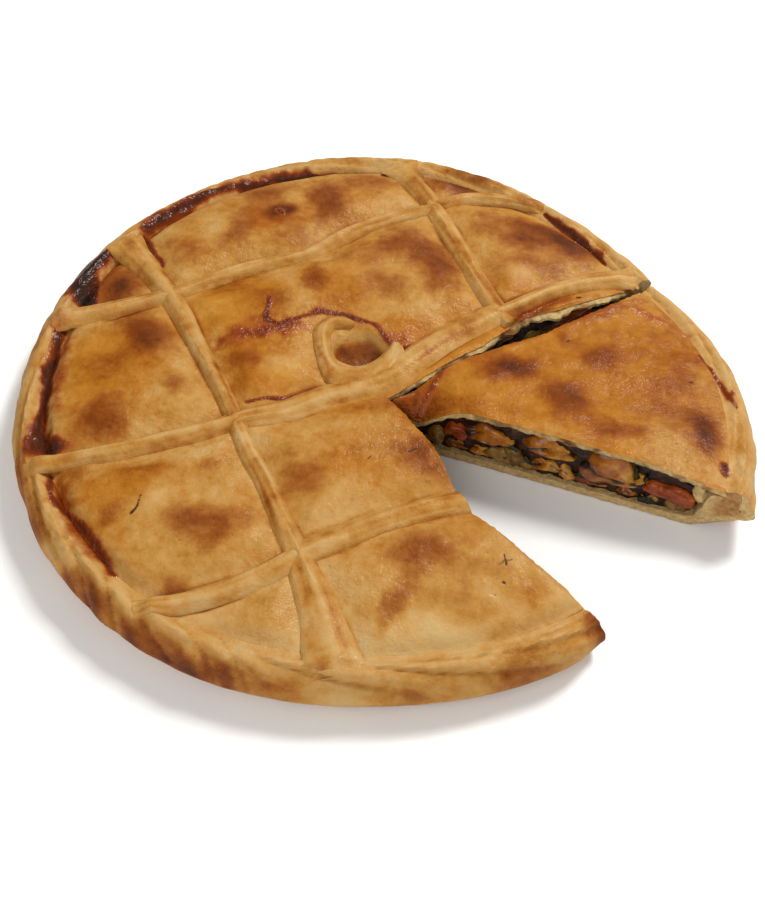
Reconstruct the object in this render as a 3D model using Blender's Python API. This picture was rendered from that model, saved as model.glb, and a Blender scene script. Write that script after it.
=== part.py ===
"""A round mussel empanada with one wedge eaten and one slice lying loose in its place.

The pie is a thick disc of bread dough: a base that is rolled up into the rim, a filling of
mussels, onion and pepper, and a thin lid with strips of dough laid over it and a curled
chimney near the middle.  Lengths below are in millimetres and each finished mesh is scaled
to metres.  The origin is the middle of the pie on its underside, +X to the right and +Y to
the back, as seen from the side where the wedge is missing at the lower right.
"""

from dataclasses import dataclass
from math import atan2, cos, degrees, exp, hypot, pi, radians, sin
from random import Random
from typing import Callable

import bmesh
import bpy
from mathutils import Matrix, Vector

METRE = 0.001                 # one millimetre in metres

# ---- driving dimensions, in millimetres -------------------------------------------------
PIE_RADIUS = 175.0            # a bakery empanada about 350 mm across
GAP = 0.3                     # clearance between neighbouring pieces
BASE_SHEET = 5.0              # thickness of the bottom dough
LID_SHEET = 3.6               # thickness of the lid dough
LID_MIDDLE_Z = 34.0           # top of the lid in the middle of the pie
LID_EDGE_Z = 25.0             # top of the lid where it meets the rim
RIM_CREST_Z = 28.0            # top of the rolled rim
RIM_BELLY_Z = 12.0            # height at which the rim is widest
RIM_BAND = 16.2               # width of the rolled rim, seen from above
RIM_MASS = 45.0               # how far in the rim's dough reaches
FOLDS = 19                    # twisted folds round the whole rim
FOLD_DEPTH = 1.1
FOLD_SLANT = 0.16             # how far a fold leans, in turns of a fold per millimetre
AIR_UNDER_LID = 2.2           # the filling has settled away from the lid
FILLING_RECESS = 2.6          # the filling's bulk lies this far behind the knife cut

SLICE_CREST_FRONT_Z = 33.5    # the loose slice's rim stands higher at its front corner
SLICE_CREST_BACK_Z = 29.0
SLICE_RIM_LIFT = 13.0         # how far its outer corner has curled up off the table
CURL_REACH = 22.0             # the curl fades out over this height and width
SLICE_MIDDLE_Z = 35.6         # top of its lid
SLICE_EDGE_Z = 31.5           # top of its lid at the rim, at the front corner
SLICE_LENGTH = 168.0          # from its tip to its rim's middle
SLICE_SPREAD = 50.0           # degrees between its two cuts
TIP_DROOP_FRONT = 14.0        # the tip of its lid hangs down, most at the front cut
TIP_DROOP_BACK = 5.0
TIP_DROOP_PLACE = 12.0        # distance from the tip of the lowest part
TIP_DROOP_REACH = 14.0
TIP_RUN_OUT = 2.5             # filling lost at the tip
TIP_RUN_OUT_REACH = 45.0

STRIP_HEIGHT = 4.4            # dough strips above the lid
STRIP_STEP = 13.0             # length of one facet of a strip
STRIP_SINK = 2.0              # its bar starts this far down, before the pie is cut out of it
CHANNEL = 12.0                # reach, up and down, of what cuts a strip off at one that crosses it
STRIP_END_TAPER = 14.0        # a strip thins towards its end on the rim over this length
STRIP_BED = 2.4               # how deep a strip has sunk into the lid
STRIP_BED_REACH = 7.0         # how far past the strip's edge the bed reaches
CHIMNEY_EYE = (-3.0, 19.0, 12.0, 9.0)     # middle x, y and half lengths of the hollow
CHIMNEY_DEPTH = 8.0
CHIMNEY_REACH = 30.0          # the filling is pressed down this far round it
CHIMNEY_HEIGHT = 6.0          # the rope round the hollow, above the lid
CHIMNEY_STEP = 6.5            # length of one facet of the rope

# Slow waves of the outline: (waves round the pie, height, direction of a crest in degrees).
OUTLINE_WAVES = ((2, 0.5, 179.0), (3, 1.1, -102.0), (4, 0.85, 130.0), (5, 1.3, 87.0), (6, 0.85, 91.0))

# A knife cut as (distance from the apex, compass bearing from +X in degrees).
MAIN_BACK_CUT = ((0, 40.0), (30, 39.5), (60, 37.0), (88, 39.6), (108, 35.4), (130, 34.2), (165, 33.6))
MAIN_FRONT_CUT = ((0, -53.0), (34, -53.5), (54, -58.5), (75, -60.0), (100, -56.0), (130, -53.0),
                  (165, -50.0))
SLICE_BACK_CUT = ((0, 38.0), (30, 36.5), (60, 32.8), (85, 30.2), (115, 30.7), (165, 32.2))
SLICE_FRONT_CUT = ((0, -18.1), (190, -18.1))

# Strips of dough as (x, y, width) along their middle lines.
STRIP_A = ((-131, 97, 20), (-122, 84, 15), (-107, 62, 12.5), (-96, 44, 10.5), (-86, 22, 9.5),
           (-76, 2, 9), (-67, -18, 9), (-55, -48, 9.5), (-45, -68, 9.5), (-37, -88, 10),
           (-30, -104, 12), (-22, -123, 16), (-16, -140, 19), (-12, -157, 24))
STRIP_B = ((17.5, 164, 20), (24, 152, 13), (33, 134, 11.5), (41, 114, 11), (50, 92, 11),
           (57, 74, 10.5), (64, 58, 10.5), (70, 47, 10), (75, 40, 10))
STRIP_C_LEFT = ((-161, 38, 13), (-145, 42, 12), (-130, 45, 12.5), (-115, 50, 10), (-101, 54, 8))
STRIP_C_MIDDLE = ((-101, 54.5, 9), (-80, 65, 9.5), (-60, 75, 9), (-40, 82, 8), (-28, 88, 8.5),
                  (-15, 99, 10), (0, 109, 9.5), (20, 119, 8.5), (38, 126, 7.5))
STRIP_C_RIGHT = ((38, 128, 8), (52, 136, 9), (66, 138, 10), (80, 137, 8), (95, 132, 6))
STRIP_D_LEFT = ((-159, -58, 10), (-140, -53, 9), (-120, -50, 10.5), (-100, -45, 11.5),
                (-85, -40, 11.5), (-72, -35, 11), (-61, -30, 11))
STRIP_D_MIDDLE = ((-62, -31, 12), (-55, -28, 12.5), (-40, -24, 13.5), (-28, -18, 14),
                  (-15, -12, 13.5), (0, -7, 13), (14, 1, 15), (28, 15, 16), (42, 28, 16),
                  (56, 38, 15), (68, 46, 13))
STRIP_D_RIGHT = ((68, 45, 9), (80, 52, 10), (94, 61, 9), (105, 67, 9.5), (118, 73, 11.5),
                 (131, 77, 13), (142, 79, 13))
STRIP_E_LEFT = ((-98, -135, 8), (-76, -131, 10.5), (-60, -126, 11), (-45, -119, 11.5), (-29, -109, 12))
STRIP_E_RIGHT = ((-30, -109, 13), (-22, -104, 14), (-8, -97, 13.5), (8, -89, 12.5),
                 (24, -83, 12), (38, -78, 12.5), (47, -76, 12.5))
CHIMNEY_ROPE = ((-8, 34, 6), (-17, 34, 10), (-24, 28, 10.5), (-22, 18, 9), (-18.5, 9, 8),
                (-12, 3.5, 9), (-3, 3, 11), (7, 5.5, 11), (13, 13, 8.5), (14, 21, 6))
STRIPS = {
    "strip_a": STRIP_A,
    "strip_b": STRIP_B,
    "strip_c_left": STRIP_C_LEFT,
    "strip_c_middle": STRIP_C_MIDDLE,
    "strip_c_right": STRIP_C_RIGHT,
    "strip_d_left": STRIP_D_LEFT,
    "strip_d_middle": STRIP_D_MIDDLE,
    "strip_d_right": STRIP_D_RIGHT,
    "strip_e_left": STRIP_E_LEFT,
    "strip_e_right": STRIP_E_RIGHT,
}
# The strips that pass under another one end at its side.
CROSSED_BY = {
    "strip_c_left": ("strip_a",),
    "strip_c_middle": ("strip_a", "strip_b"),
    "strip_c_right": ("strip_b",),
    "strip_d_left": ("strip_a",),
    "strip_d_middle": ("strip_a", "strip_b"),
    "strip_d_right": ("strip_b",),
    "strip_e_left": ("strip_a",),
    "strip_e_right": ("strip_a",),
}

# Colours (linear RGB) and roughness.
BAKED_CRUST = (0.50, 0.25, 0.065)
PALE_CRUST = (0.58, 0.34, 0.11)
SOFT_CRUMB = (0.62, 0.45, 0.20)
COOKED_FILLING = (0.36, 0.11, 0.02)


# ---- small helpers ----------------------------------------------------------------------
def between(table, x):
    """Value at x of a table of (x, value) rows, straight between them."""
    if x <= table[0][0]:
        return table[0][1]
    for (x0, y0), (x1, y1) in zip(table, table[1:]):
        if x <= x1:
            return y0 + (y1 - y0) * (x - x0) / (x1 - x0)
    return table[-1][1]


def smooth_path(rows, step):
    """Evenly spaced (x, y, width) samples of a Catmull-Rom curve through the rows."""
    rows = [Vector(row) for row in rows]
    rows = [2 * rows[0] - rows[1], *rows, 2 * rows[-1] - rows[-2]]
    samples = []
    for a, b, c, d in zip(rows, rows[1:], rows[2:], rows[3:]):
        pieces = max(1, round((c - b).xy.length / step))
        for i in range(pieces):
            t = i / pieces
            samples.append(0.5 * (2 * b + (c - a) * t + (2 * a - 5 * b + 4 * c - d) * t * t
                                  + (3 * b - a - 3 * c + d) * t ** 3))
    return samples + [rows[-2]]


def distance_to_path(x, y, path):
    """Distance from (x, y) to a sampled path, and the path's width there."""
    here = Vector((x, y))
    best = (1e9, 0.0)
    for a, b in zip(path, path[1:]):
        run = (b - a).xy
        t = max(0.0, min(1.0, (here - a.xy).dot(run) / run.length_squared))
        best = min(best, ((here - a.xy - run * t).length, a.z + (b.z - a.z) * t))
    return best


STRIP_LINES = {name: smooth_path(rows, STRIP_STEP) for name, rows in STRIPS.items()}


# ---- the pie's own surfaces -------------------------------------------------------------
def outline_radius(angle):
    """Radius of the rim in a direction from the middle of the pie."""
    return PIE_RADIUS + sum(height * cos(waves * angle - radians(crest))
                            for waves, height, crest in OUTLINE_WAVES)


def main_dome(x, y):
    """The lid's broad form: a flat dome that falls towards the rim."""
    outwards = min(1.0, hypot(x, y) / (outline_radius(atan2(y, x)) - RIM_BAND))
    return LID_MIDDLE_Z - (LID_MIDDLE_Z - LID_EDGE_Z) * outwards ** 6, outwards


def main_lid_height(x, y):
    """Top of the pie's lid: the dome, sunk under the strips and in the chimney."""
    z, outwards = main_dome(x, y)
    beds = []
    for line in STRIP_LINES.values():
        away, width = distance_to_path(x, y, line)
        beds.append(exp(-(away / (width / 2 + STRIP_BED_REACH)) ** 2))
    z -= STRIP_BED * max(beds) * (1.0 - outwards ** 8)
    eye_x, eye_y, half_x, half_y = CHIMNEY_EYE
    z -= CHIMNEY_DEPTH * exp(-((x - eye_x) / half_x) ** 4 - ((y - eye_y) / half_y) ** 4)
    return z


def main_roof(x, y):
    """Top of the pie's filling, which keeps clear of the lid and of the chimney's floor."""
    eye_away = hypot(x - CHIMNEY_EYE[0], y - CHIMNEY_EYE[1])
    sunk = STRIP_BED + CHIMNEY_DEPTH * exp(-(eye_away / CHIMNEY_REACH) ** 2)
    return main_dome(x, y)[0] - sunk - LID_SHEET - AIR_UNDER_LID


def slice_roof(x, y):
    """Top of the slice's filling, which has also run out a little at the tip."""
    tip_away = hypot(x - SLICE.apex[0], y - SLICE.apex[1])
    run_out = TIP_RUN_OUT * exp(-(tip_away / TIP_RUN_OUT_REACH) ** 2)
    return slice_lid_height(x, y) - LID_SHEET - AIR_UNDER_LID - run_out


def slice_lid_height(x, y):
    """Top of the loose slice: nearly level, its tip hanging down over the cut."""
    away = hypot(x - SLICE.apex[0], y - SLICE.apex[1])
    lean = slice_lean(x, y)
    edge = SLICE_EDGE_Z - lean * (SLICE_CREST_FRONT_Z - SLICE_CREST_BACK_Z)
    z = SLICE_MIDDLE_Z - (SLICE_MIDDLE_Z - edge) * min(1.0, away / SLICE_LENGTH) ** 4
    droop = TIP_DROOP_FRONT - lean * (TIP_DROOP_FRONT - TIP_DROOP_BACK)
    return z - droop * exp(-((away - TIP_DROOP_PLACE) / TIP_DROOP_REACH) ** 2)


def slice_lean(x, y):
    """0 along the slice's front cut and 1 along its back cut."""
    bearing = degrees(atan2(y - SLICE.apex[1], x - SLICE.apex[0]))
    return max(0.0, min(1.0, (bearing - SLICE_FRONT_CUT[0][1]) / SLICE_SPREAD))


def main_crest(x, y):
    """The pie's rim is level."""
    return RIM_CREST_Z


def main_lift(x, y):
    """The pie lies flat all round."""
    return 0.0


def slice_crest(x, y):
    """The slice's rim stands up more towards its front corner."""
    return SLICE_CREST_FRONT_Z - slice_lean(x, y) * (SLICE_CREST_FRONT_Z - SLICE_CREST_BACK_Z)


def slice_lift(x, y):
    """Its underside curls up off the table there too."""
    return SLICE_RIM_LIFT * (1.0 - slice_lean(x, y)) ** 2


@dataclass
class Portion:
    """A part of the round between two knife cuts that meet at its apex."""
    name: str
    apex: tuple
    centre: tuple
    first_cut: tuple
    last_cut: tuple
    whole_turn: float         # degrees added to the last cut's bearing
    rays: int
    lid_height: Callable
    roof: Callable            # top of the filling
    crest: Callable
    lift: Callable            # how far the rim's underside curls up

    def bearing(self, share, distance):
        """Direction from the apex of a ray, which bends as the two knife cuts do."""
        first = between(self.first_cut, distance)
        last = between(self.last_cut, distance) + self.whole_turn
        return radians(first + (last - first) * share)

    def on_ray(self, share, distance):
        """Plan position at a distance from the apex along a ray."""
        angle = self.bearing(share, distance)
        return Vector((self.apex[0] + distance * cos(angle), self.apex[1] + distance * sin(angle)))

    def reach(self, share):
        """Distance from the apex to the rim's outside along a ray."""
        reach = PIE_RADIUS
        for _ in range(6):
            x, y = self.on_ray(share, reach) - Vector(self.centre)
            reach += outline_radius(atan2(y, x)) - hypot(x, y)
        return reach

    def place(self, share, nominal):
        """Plan position of a profile point that is `nominal` mm out on a 175 mm pie."""
        reach = self.reach(share)
        if nominal < PIE_RADIUS - RIM_MASS:
            distance = nominal * (reach - RIM_MASS) / (PIE_RADIUS - RIM_MASS)
        else:
            distance = reach - (PIE_RADIUS - nominal)
        return self.on_ray(share, distance)


MAIN = Portion("pie", (12.0, -14.0), (0.0, 0.0), MAIN_BACK_CUT, MAIN_FRONT_CUT, 360.0, 72,
               main_lid_height, main_roof, main_crest, main_lift)
SLICE = Portion("slice", (14.0, -14.8), (19.8, -31.1), SLICE_FRONT_CUT, SLICE_BACK_CUT, 0.0, 16,
                slice_lid_height, slice_roof, slice_crest, slice_lift)


# ---- meshes of a portion ----------------------------------------------------------------
def profile_place(profile, distance, z):
    """Which point of a profile is nearest to (distance, z)."""
    return min(range(len(profile)), key=lambda i: hypot(profile[i][0] - distance, profile[i][1] - z))


def close_cut(bm, loop):
    """Faces over a cut, zipped outwards from the apex between the underside and the top."""
    while len(loop) > 3:
        bm.faces.new((loop[0], loop[1], loop[-2], loop[-1]))
        loop = loop[1:-1]
    if len(loop) == 3:
        bm.faces.new(loop)


def swept(profile, rays):
    """Spin a (distance, z) profile about the apex through one radian, closed at both cuts."""
    bm = bmesh.new()
    first = [bm.verts.new((distance, 0.0, z)) for distance, z in profile]
    edges = [bm.edges.new(pair) for pair in zip(first, first[1:])]
    turned = bmesh.ops.spin(bm, geom=first + edges, cent=(0, 0, 0), axis=(0, 0, 1),
                            angle=1.0, steps=rays, use_merge=False, use_duplicate=False)
    last = [item for item in turned["geom_last"] if isinstance(item, bmesh.types.BMVert)]
    last.sort(key=lambda v: profile_place(profile, hypot(v.co.x, v.co.y), v.co.z))
    close_cut(bm, first)
    close_cut(bm, last)
    return bm


def ray_share(share, nominal, rays):
    """Rays run together in twos and fours near the apex, where they would crowd."""
    group = 4 if nominal < 25 else 2 if nominal < 60 else 1
    return round(share * rays / group) * group / rays


def put_in_place(bm, portion, height_rule):
    """Move a swept mesh from its nominal wedge to the portion's own outline and heights."""
    for vert in bm.verts:
        nominal = hypot(vert.co.x, vert.co.y)
        share = ray_share(atan2(vert.co.y, vert.co.x), nominal, portion.rays) if nominal > 1e-6 else 0.5
        x, y = portion.place(share, nominal)
        vert.co = (x, y, height_rule(portion, x, y, nominal, vert.co.z))
    bmesh.ops.remove_doubles(bm, verts=bm.verts, dist=0.01)


def base_profile():
    """Bottom sheet and rolled rim: out along the underside, over the rim and back."""
    out = PIE_RADIUS
    rings = (0, 42, 86, out - RIM_MASS)
    underside = [(ring, 0) for ring in rings] + [(out - 14, 0)]
    outside = [(out - 6, 2), (out - 1.5, 7), (out, 12.5), (out - 1.2, 19), (out - 4.5, 24.5)]
    crest = [(out - 8.5, RIM_CREST_Z), (out - 12.5, RIM_CREST_Z - 1)]
    shoulder = [(out - RIM_BAND + 0.5, LID_EDGE_Z - 0.2), (out - RIM_BAND, 20), (out - 22, 19)]
    inside = [(out - 26, 12), (out - 29.5, 6.5)]
    sheet = [(ring, BASE_SHEET) for ring in reversed(rings)]
    return underside + outside + crest + shoulder + inside + sheet


def base_height(portion, x, y, nominal, z):
    """The rim grows with the portion's crest, curls up, and its roll has slanting folds."""
    inset = PIE_RADIUS - nominal
    if z > RIM_BELLY_Z:
        stretch = (portion.crest(x, y) - RIM_BELLY_Z) / (RIM_CREST_Z - RIM_BELLY_Z)
        z = RIM_BELLY_Z + (z - RIM_BELLY_Z) * stretch
    curl = max(0.0, min(1.0, 1.3 - inset / CURL_REACH)) * max(0.0, 1.0 - z / CURL_REACH)
    z += portion.lift(x, y) * curl
    if z > RIM_BELLY_Z - 2.0 and inset < RIM_BAND - 1.0:
        angle = atan2(y - portion.centre[1], x - portion.centre[0])
        z += FOLD_DEPTH * sin(FOLDS * angle + 2 * pi * FOLD_SLANT * inset)
    return z


def lid_profile():
    """A sheet: out along the underside (z 0) and back along the top (z 1)."""
    edge = PIE_RADIUS - RIM_BAND - GAP
    rings = [edge * share for share in
             (0.0, 0.09, 0.19, 0.28, 0.37, 0.46, 0.55, 0.64, 0.73, 0.81, 0.89, 0.95, 1.0)]
    return [(ring, 0) for ring in rings] + [(ring, 1) for ring in reversed(rings)]


def lid_height(portion, x, y, nominal, z):
    """Top (z 1) or underside (z 0) of the lid at a place."""
    return portion.lid_height(x, y) - (1 - z) * LID_SHEET


def filling_profile():
    """The filling's bulk, from the bottom sheet up to just under the lid."""
    out = PIE_RADIUS
    rings = [(out - RIM_MASS - 2) * share for share in (0.0, 0.12, 0.27, 0.45, 0.72, 1.0)]
    edge = [(out - 31, 0.12), (out - 27.5, 0.4), (out - 25, 0.85)]
    return [(ring, 0) for ring in rings] + edge + [(ring, 1) for ring in reversed(rings)]


def filling_height(portion, x, y, nominal, z):
    """From just over the bottom sheet (z 0) to the filling's roof (z 1)."""
    floor = BASE_SHEET + 2 * GAP
    return floor + (portion.roof(x, y) - floor) * z


def set_back(portion, recess):
    """The same portion with both cuts moved back from the knife by `recess`."""
    first = radians(between(portion.first_cut, 60))
    last = radians(between(portion.last_cut, 60) + portion.whole_turn)
    middle = (first + last) / 2
    shift = recess / sin((last - first) / 2)
    apex = (portion.apex[0] + shift * cos(middle), portion.apex[1] + shift * sin(middle))
    return Portion(portion.name, apex, portion.centre, portion.first_cut, portion.last_cut,
                   portion.whole_turn, portion.rays // 2, portion.lid_height, portion.roof,
                   portion.crest, portion.lift)


# ---- materials and objects --------------------------------------------------------------
def material(name, colour, roughness):
    """A plain material for one piece."""
    made = bpy.data.materials.new(name)
    made.use_nodes = True
    shader = made.node_tree.nodes["Principled BSDF"]
    shader.inputs["Base Color"].default_value = (*colour, 1.0)
    shader.inputs["Roughness"].default_value = roughness
    shader.inputs["Metallic"].default_value = 0.0
    return made


def finished(bm, name, colour, roughness):
    """Close off a mesh in millimetres as a smooth-shaded object in metres."""
    bmesh.ops.recalc_face_normals(bm, faces=bm.faces)
    bmesh.ops.triangulate(bm, faces=bm.faces, quad_method="BEAUTY", ngon_method="EAR_CLIP")
    bmesh.ops.scale(bm, vec=(METRE, METRE, METRE), verts=bm.verts)
    mesh = bpy.data.meshes.new(name)
    bm.to_mesh(mesh)
    bm.free()
    mesh.shade_smooth()
    mesh.set_sharp_from_angle(angle=radians(40))
    mesh.materials.append(material(name, colour, roughness))
    made = bpy.data.objects.new(name, mesh)
    bpy.context.scene.collection.objects.link(made)
    return made


def cutter(bm, name):
    """A mesh that only cuts others, hidden from renders."""
    made = finished(bm, name, PALE_CRUST, 1.0)
    made.hide_render = True
    made.display_type = "WIRE"
    return made


def apply_boolean(target, operation, collection=None, other=None):
    """Join a collection to the target, or cut one object out of it, for good."""
    modifier = target.modifiers.new("shape", "BOOLEAN")
    modifier.operation = operation
    modifier.solver = "EXACT"
    if collection:
        modifier.operand_type = "COLLECTION"
        modifier.collection = collection
    else:
        modifier.object = other
    evaluated = target.evaluated_get(bpy.context.evaluated_depsgraph_get())
    joined = bpy.data.meshes.new_from_object(evaluated)
    target.modifiers.remove(modifier)
    target.data = joined
    keep_biggest_body(joined)


def keep_biggest_body(mesh):
    """Drop loose scraps and sealed hollows that a Boolean leaves behind."""
    bm = bmesh.new()
    bm.from_mesh(mesh)
    bmesh.ops.triangulate(bm, faces=bm.faces)
    bmesh.ops.dissolve_degenerate(bm, edges=bm.edges, dist=1e-6)
    left = set(bm.verts)
    bodies = []
    while left:
        body = {left.pop()}
        front = list(body)
        while front:
            for edge in front.pop().link_edges:
                for vert in edge.verts:
                    if vert in left:
                        left.remove(vert)
                        body.add(vert)
                        front.append(vert)
        bodies.append(body)
    bodies.sort(key=len, reverse=True)
    scraps = [vert for body in bodies[1:] for vert in body]
    bmesh.ops.delete(bm, geom=scraps, context="VERTS")
    bm.to_mesh(mesh)
    bm.free()


# ---- dough: base, lid, strips -----------------------------------------------------------
def dough_pieces(portion):
    """The base with its rolled rim, and the lid."""
    base = swept(base_profile(), portion.rays)
    put_in_place(base, portion, base_height)
    lid = swept(lid_profile(), portion.rays)
    put_in_place(lid, portion, lid_height)
    return (finished(base, f"{portion.name}_base", SOFT_CRUMB, 0.6),
            finished(lid, f"{portion.name}_lid", BAKED_CRUST, 0.4))


def ground_height(x, y):
    """Top of the pie under a strip: the lid, or the rim where the strip runs onto it."""
    reach = outline_radius(atan2(y, x))
    inset = reach - hypot(x, y)
    if inset > RIM_BAND:
        return main_lid_height(x, y)
    crown = (inset - RIM_BAND / 2) / (RIM_BAND / 2)
    return LID_EDGE_Z + (RIM_CREST_Z - LID_EDGE_Z) * (1.0 - crown * crown)


def end_thinning(x, y):
    """A strip keeps this share of its height, less and less on the rim."""
    outside = hypot(x, y) - (PIE_RADIUS - RIM_BAND - STRIP_END_TAPER)
    return 1.0 - 0.7 * max(0.0, min(1.0, outside / (2 * STRIP_END_TAPER)))


def ribbon(rows, height, sink, widen, step):
    """A closed bar along a path: its foot `sink` below the ground, its crown rounded."""
    across = ((-1.0, 0.4), (-0.75, 0.9), (0.0, 1.0), (0.75, 0.9), (1.0, 0.4))
    path = smooth_path(rows, step)
    bm = bmesh.new()
    loops = []
    for i, here in enumerate(path):
        run = (path[min(i + 1, len(path) - 1)] - path[max(i - 1, 0)]).xy.normalized()
        side = Vector((-run.y, run.x))
        half = here.z / 2 + widen
        ground = ground_height(here.x, here.y)
        height_here = height * end_thinning(here.x, here.y)
        crown = [(share, ground + height_here * rise) for share, rise in across]
        foot = [(1.0, ground - sink), (-1.0, ground - sink)]
        loops.append([bm.verts.new((*(here.xy + side * half * share), z)) for share, z in crown + foot])
    for loop, following in zip(loops, loops[1:]):
        for i in range(len(loop)):
            j = (i + 1) % len(loop)
            bm.faces.new((loop[i], loop[j], following[j], following[i]))
    bm.faces.new(loops[0])
    bm.faces.new(loops[-1])
    return bm


def dough_strips(base, lid):
    """Every strip lies on the lid and rim, and ends at the side of one that crosses it."""
    beds = [raised_copy(base), raised_copy(lid)]
    channels = {name: cutter(ribbon(STRIPS[name], CHANNEL, CHANNEL, GAP, STRIP_STEP), f"channel_{name}")
                for name in ("strip_a", "strip_b", "strip_d_middle")}
    for name, rows in STRIPS.items():
        bar = ribbon(rows, STRIP_HEIGHT, STRIP_SINK, 0.0, STRIP_STEP)
        strip = finished(bar, name, PALE_CRUST, 0.4)
        for bed in beds:
            apply_boolean(strip, "DIFFERENCE", other=bed)
        for crossing in CROSSED_BY.get(name, ()):
            apply_boolean(strip, "DIFFERENCE", other=channels[crossing])
    bar = ribbon(CHIMNEY_ROPE, CHIMNEY_HEIGHT, CHIMNEY_DEPTH - STRIP_SINK, 0.0, CHIMNEY_STEP)
    rope = finished(bar, "chimney", PALE_CRUST, 0.4)
    for other in (*beds, channels["strip_d_middle"]):
        apply_boolean(rope, "DIFFERENCE", other=other)
    for unused in (*beds, *channels.values()):
        bpy.data.objects.remove(unused)


def raised_copy(solid):
    """A copy lifted by the gap, to cut what lies on the solid."""
    copy = solid.copy()
    copy.data = solid.data.copy()
    copy.data.transform(Matrix.Translation((0, 0, GAP * METRE)))
    bpy.context.scene.collection.objects.link(copy)
    return copy


# ---- filling ----------------------------------------------------------------------------
# Pieces along the slice's front cut: (distance from the apex, height, length, width, turn, kind).
FRONT_PIECES = (
    (24, 12, 16, 9, 10, "onion"), (37, 20, 15, 9, -10, "pepper"), (33, 9, 18, 8, 20, "onion"),
    (54, 21, 27, 12, 6, "mussel"), (48, 9, 22, 9, -8, "pepper"), (66, 13, 20, 11, 15, "mussel"),
    (78, 8, 20, 9, -5, "onion"), (86, 24, 26, 11, 4, "mussel"), (92, 12, 24, 10, -12, "mussel"),
    (113, 17, 31, 17, -8, "mussel"), (104, 7, 22, 8, 5, "onion"), (131, 9, 18, 8, 10, "onion"),
    (140, 15, 26, 8, -14, "pepper"), (128, 25, 16, 7, -10, "mussel"), (151, 20, 9, 8, 60, "onion"),
)


SIZE_OF = {"mussel": (27, 12), "onion": (19, 8), "pepper": (24, 7)}     # length and width
DEPTH_OF = {"mussel": 0.75, "onion": 0.75, "pepper": 0.5}               # as a share of the width
BEHIND_CUT = {"mussel": 3.2, "onion": 3.2, "pepper": 2.8}               # a piece's middle line


def scattered_pieces(seed, first, last, count):
    """Other cuts show the same kinds of piece, strewn by a seeded draw."""
    draw = Random(seed)
    pieces = []
    for i in range(count):
        kind = ("mussel", "onion", "mussel", "pepper")[i % 4]
        length, width = SIZE_OF[kind]
        away = first + (last - first) * (i + 0.5) / count
        height = (9, 20, 14)[i % 3] + draw.uniform(-2, 2)
        size = draw.uniform(0.85, 1.1)
        pieces.append((away, height, length * size, width * size, draw.uniform(-18, 18), kind))
    return pieces


def piece_mesh(length, width, kind):
    """A mussel is a bent bean, onion a flat lens and pepper a bent bar, along X."""
    bm = bmesh.new()
    if kind == "pepper":
        bmesh.ops.create_cube(bm, size=1.0)
        long_edges = [e for e in bm.edges if abs((e.verts[0].co - e.verts[1].co).x) > 0.5]
        bmesh.ops.subdivide_edges(bm, edges=long_edges, cuts=3, use_grid_fill=True)
    else:
        bmesh.ops.create_icosphere(bm, subdivisions=2, radius=0.5)
    bmesh.ops.scale(bm, vec=(length, DEPTH_OF[kind] * width, width), verts=bm.verts)
    for vert in bm.verts:
        vert.co.z += 0.14 * width * (1.0 - (2.0 * vert.co.x / length) ** 2)
    return bm


def filling_piece(portion, share, row, collection, number):
    """Put one piece on a cut, standing out of the bulk and just short of the knife's plane."""
    away, height, length, width, turn, kind = row
    run = portion.on_ray(share, away + length / 4) - portion.on_ray(share, away - length / 4)
    heading = atan2(run.y, run.x)
    inwards = heading + (pi / 2 if share < 0.5 else -pi / 2)
    back = BEHIND_CUT[kind]
    place = portion.on_ray(share, away) + Vector((back * cos(inwards), back * sin(inwards)))
    shrink = min(1.0, (back - 0.5) * 2.0 / (DEPTH_OF[kind] * width))
    bm = piece_mesh(length, width, kind)
    bmesh.ops.scale(bm, vec=(1.0, shrink, 1.0), verts=bm.verts)
    tilt = Matrix.Rotation(radians(-turn) / 2, 3, "Y")
    bmesh.ops.rotate(bm, cent=(0, 0, 0), matrix=Matrix.Rotation(heading, 3, "Z") @ tilt, verts=bm.verts)
    bmesh.ops.translate(bm, vec=(*place, height), verts=bm.verts)
    for vert in bm.verts:
        roof = portion.roof(vert.co.x, vert.co.y) + AIR_UNDER_LID - 3 * GAP
        vert.co.z = max(BASE_SHEET + 3 * GAP, min(vert.co.z, roof))
    made = finished(bm, f"{portion.name}_piece_{number}", COOKED_FILLING, 0.4)
    bpy.context.scene.collection.objects.unlink(made)
    collection.objects.link(made)


def filling(portion, cuts):
    """The filling's bulk with the pieces that show at its cuts fused on."""
    bulk = set_back(portion, FILLING_RECESS)
    bm = swept(filling_profile(), bulk.rays)
    put_in_place(bm, bulk, filling_height)
    made = finished(bm, f"{portion.name}_filling", COOKED_FILLING, 0.45)
    pieces = bpy.data.collections.new("pieces")
    bpy.context.scene.collection.children.link(pieces)
    for share, rows in cuts:
        for row in rows:
            filling_piece(portion, share, row, pieces, len(pieces.objects))
    apply_boolean(made, "UNION", collection=pieces)
    for piece in list(pieces.objects):
        bpy.data.objects.remove(piece)
    bpy.data.collections.remove(pieces)
    return made


# ---- the whole --------------------------------------------------------------------------
def main():
    """Clear the scene and build the pie and the slice."""
    for old in list(bpy.data.objects):
        bpy.data.objects.remove(old)
    base, lid = dough_pieces(MAIN)
    dough_strips(base, lid)
    dough_pieces(SLICE)
    filling(MAIN, ((0.0, scattered_pieces(3, 35, 125, 8)), (1.0, scattered_pieces(5, 20, 125, 11))))
    filling(SLICE, ((0.0, FRONT_PIECES), (1.0, scattered_pieces(7, 35, 122, 8))))


main()
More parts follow.
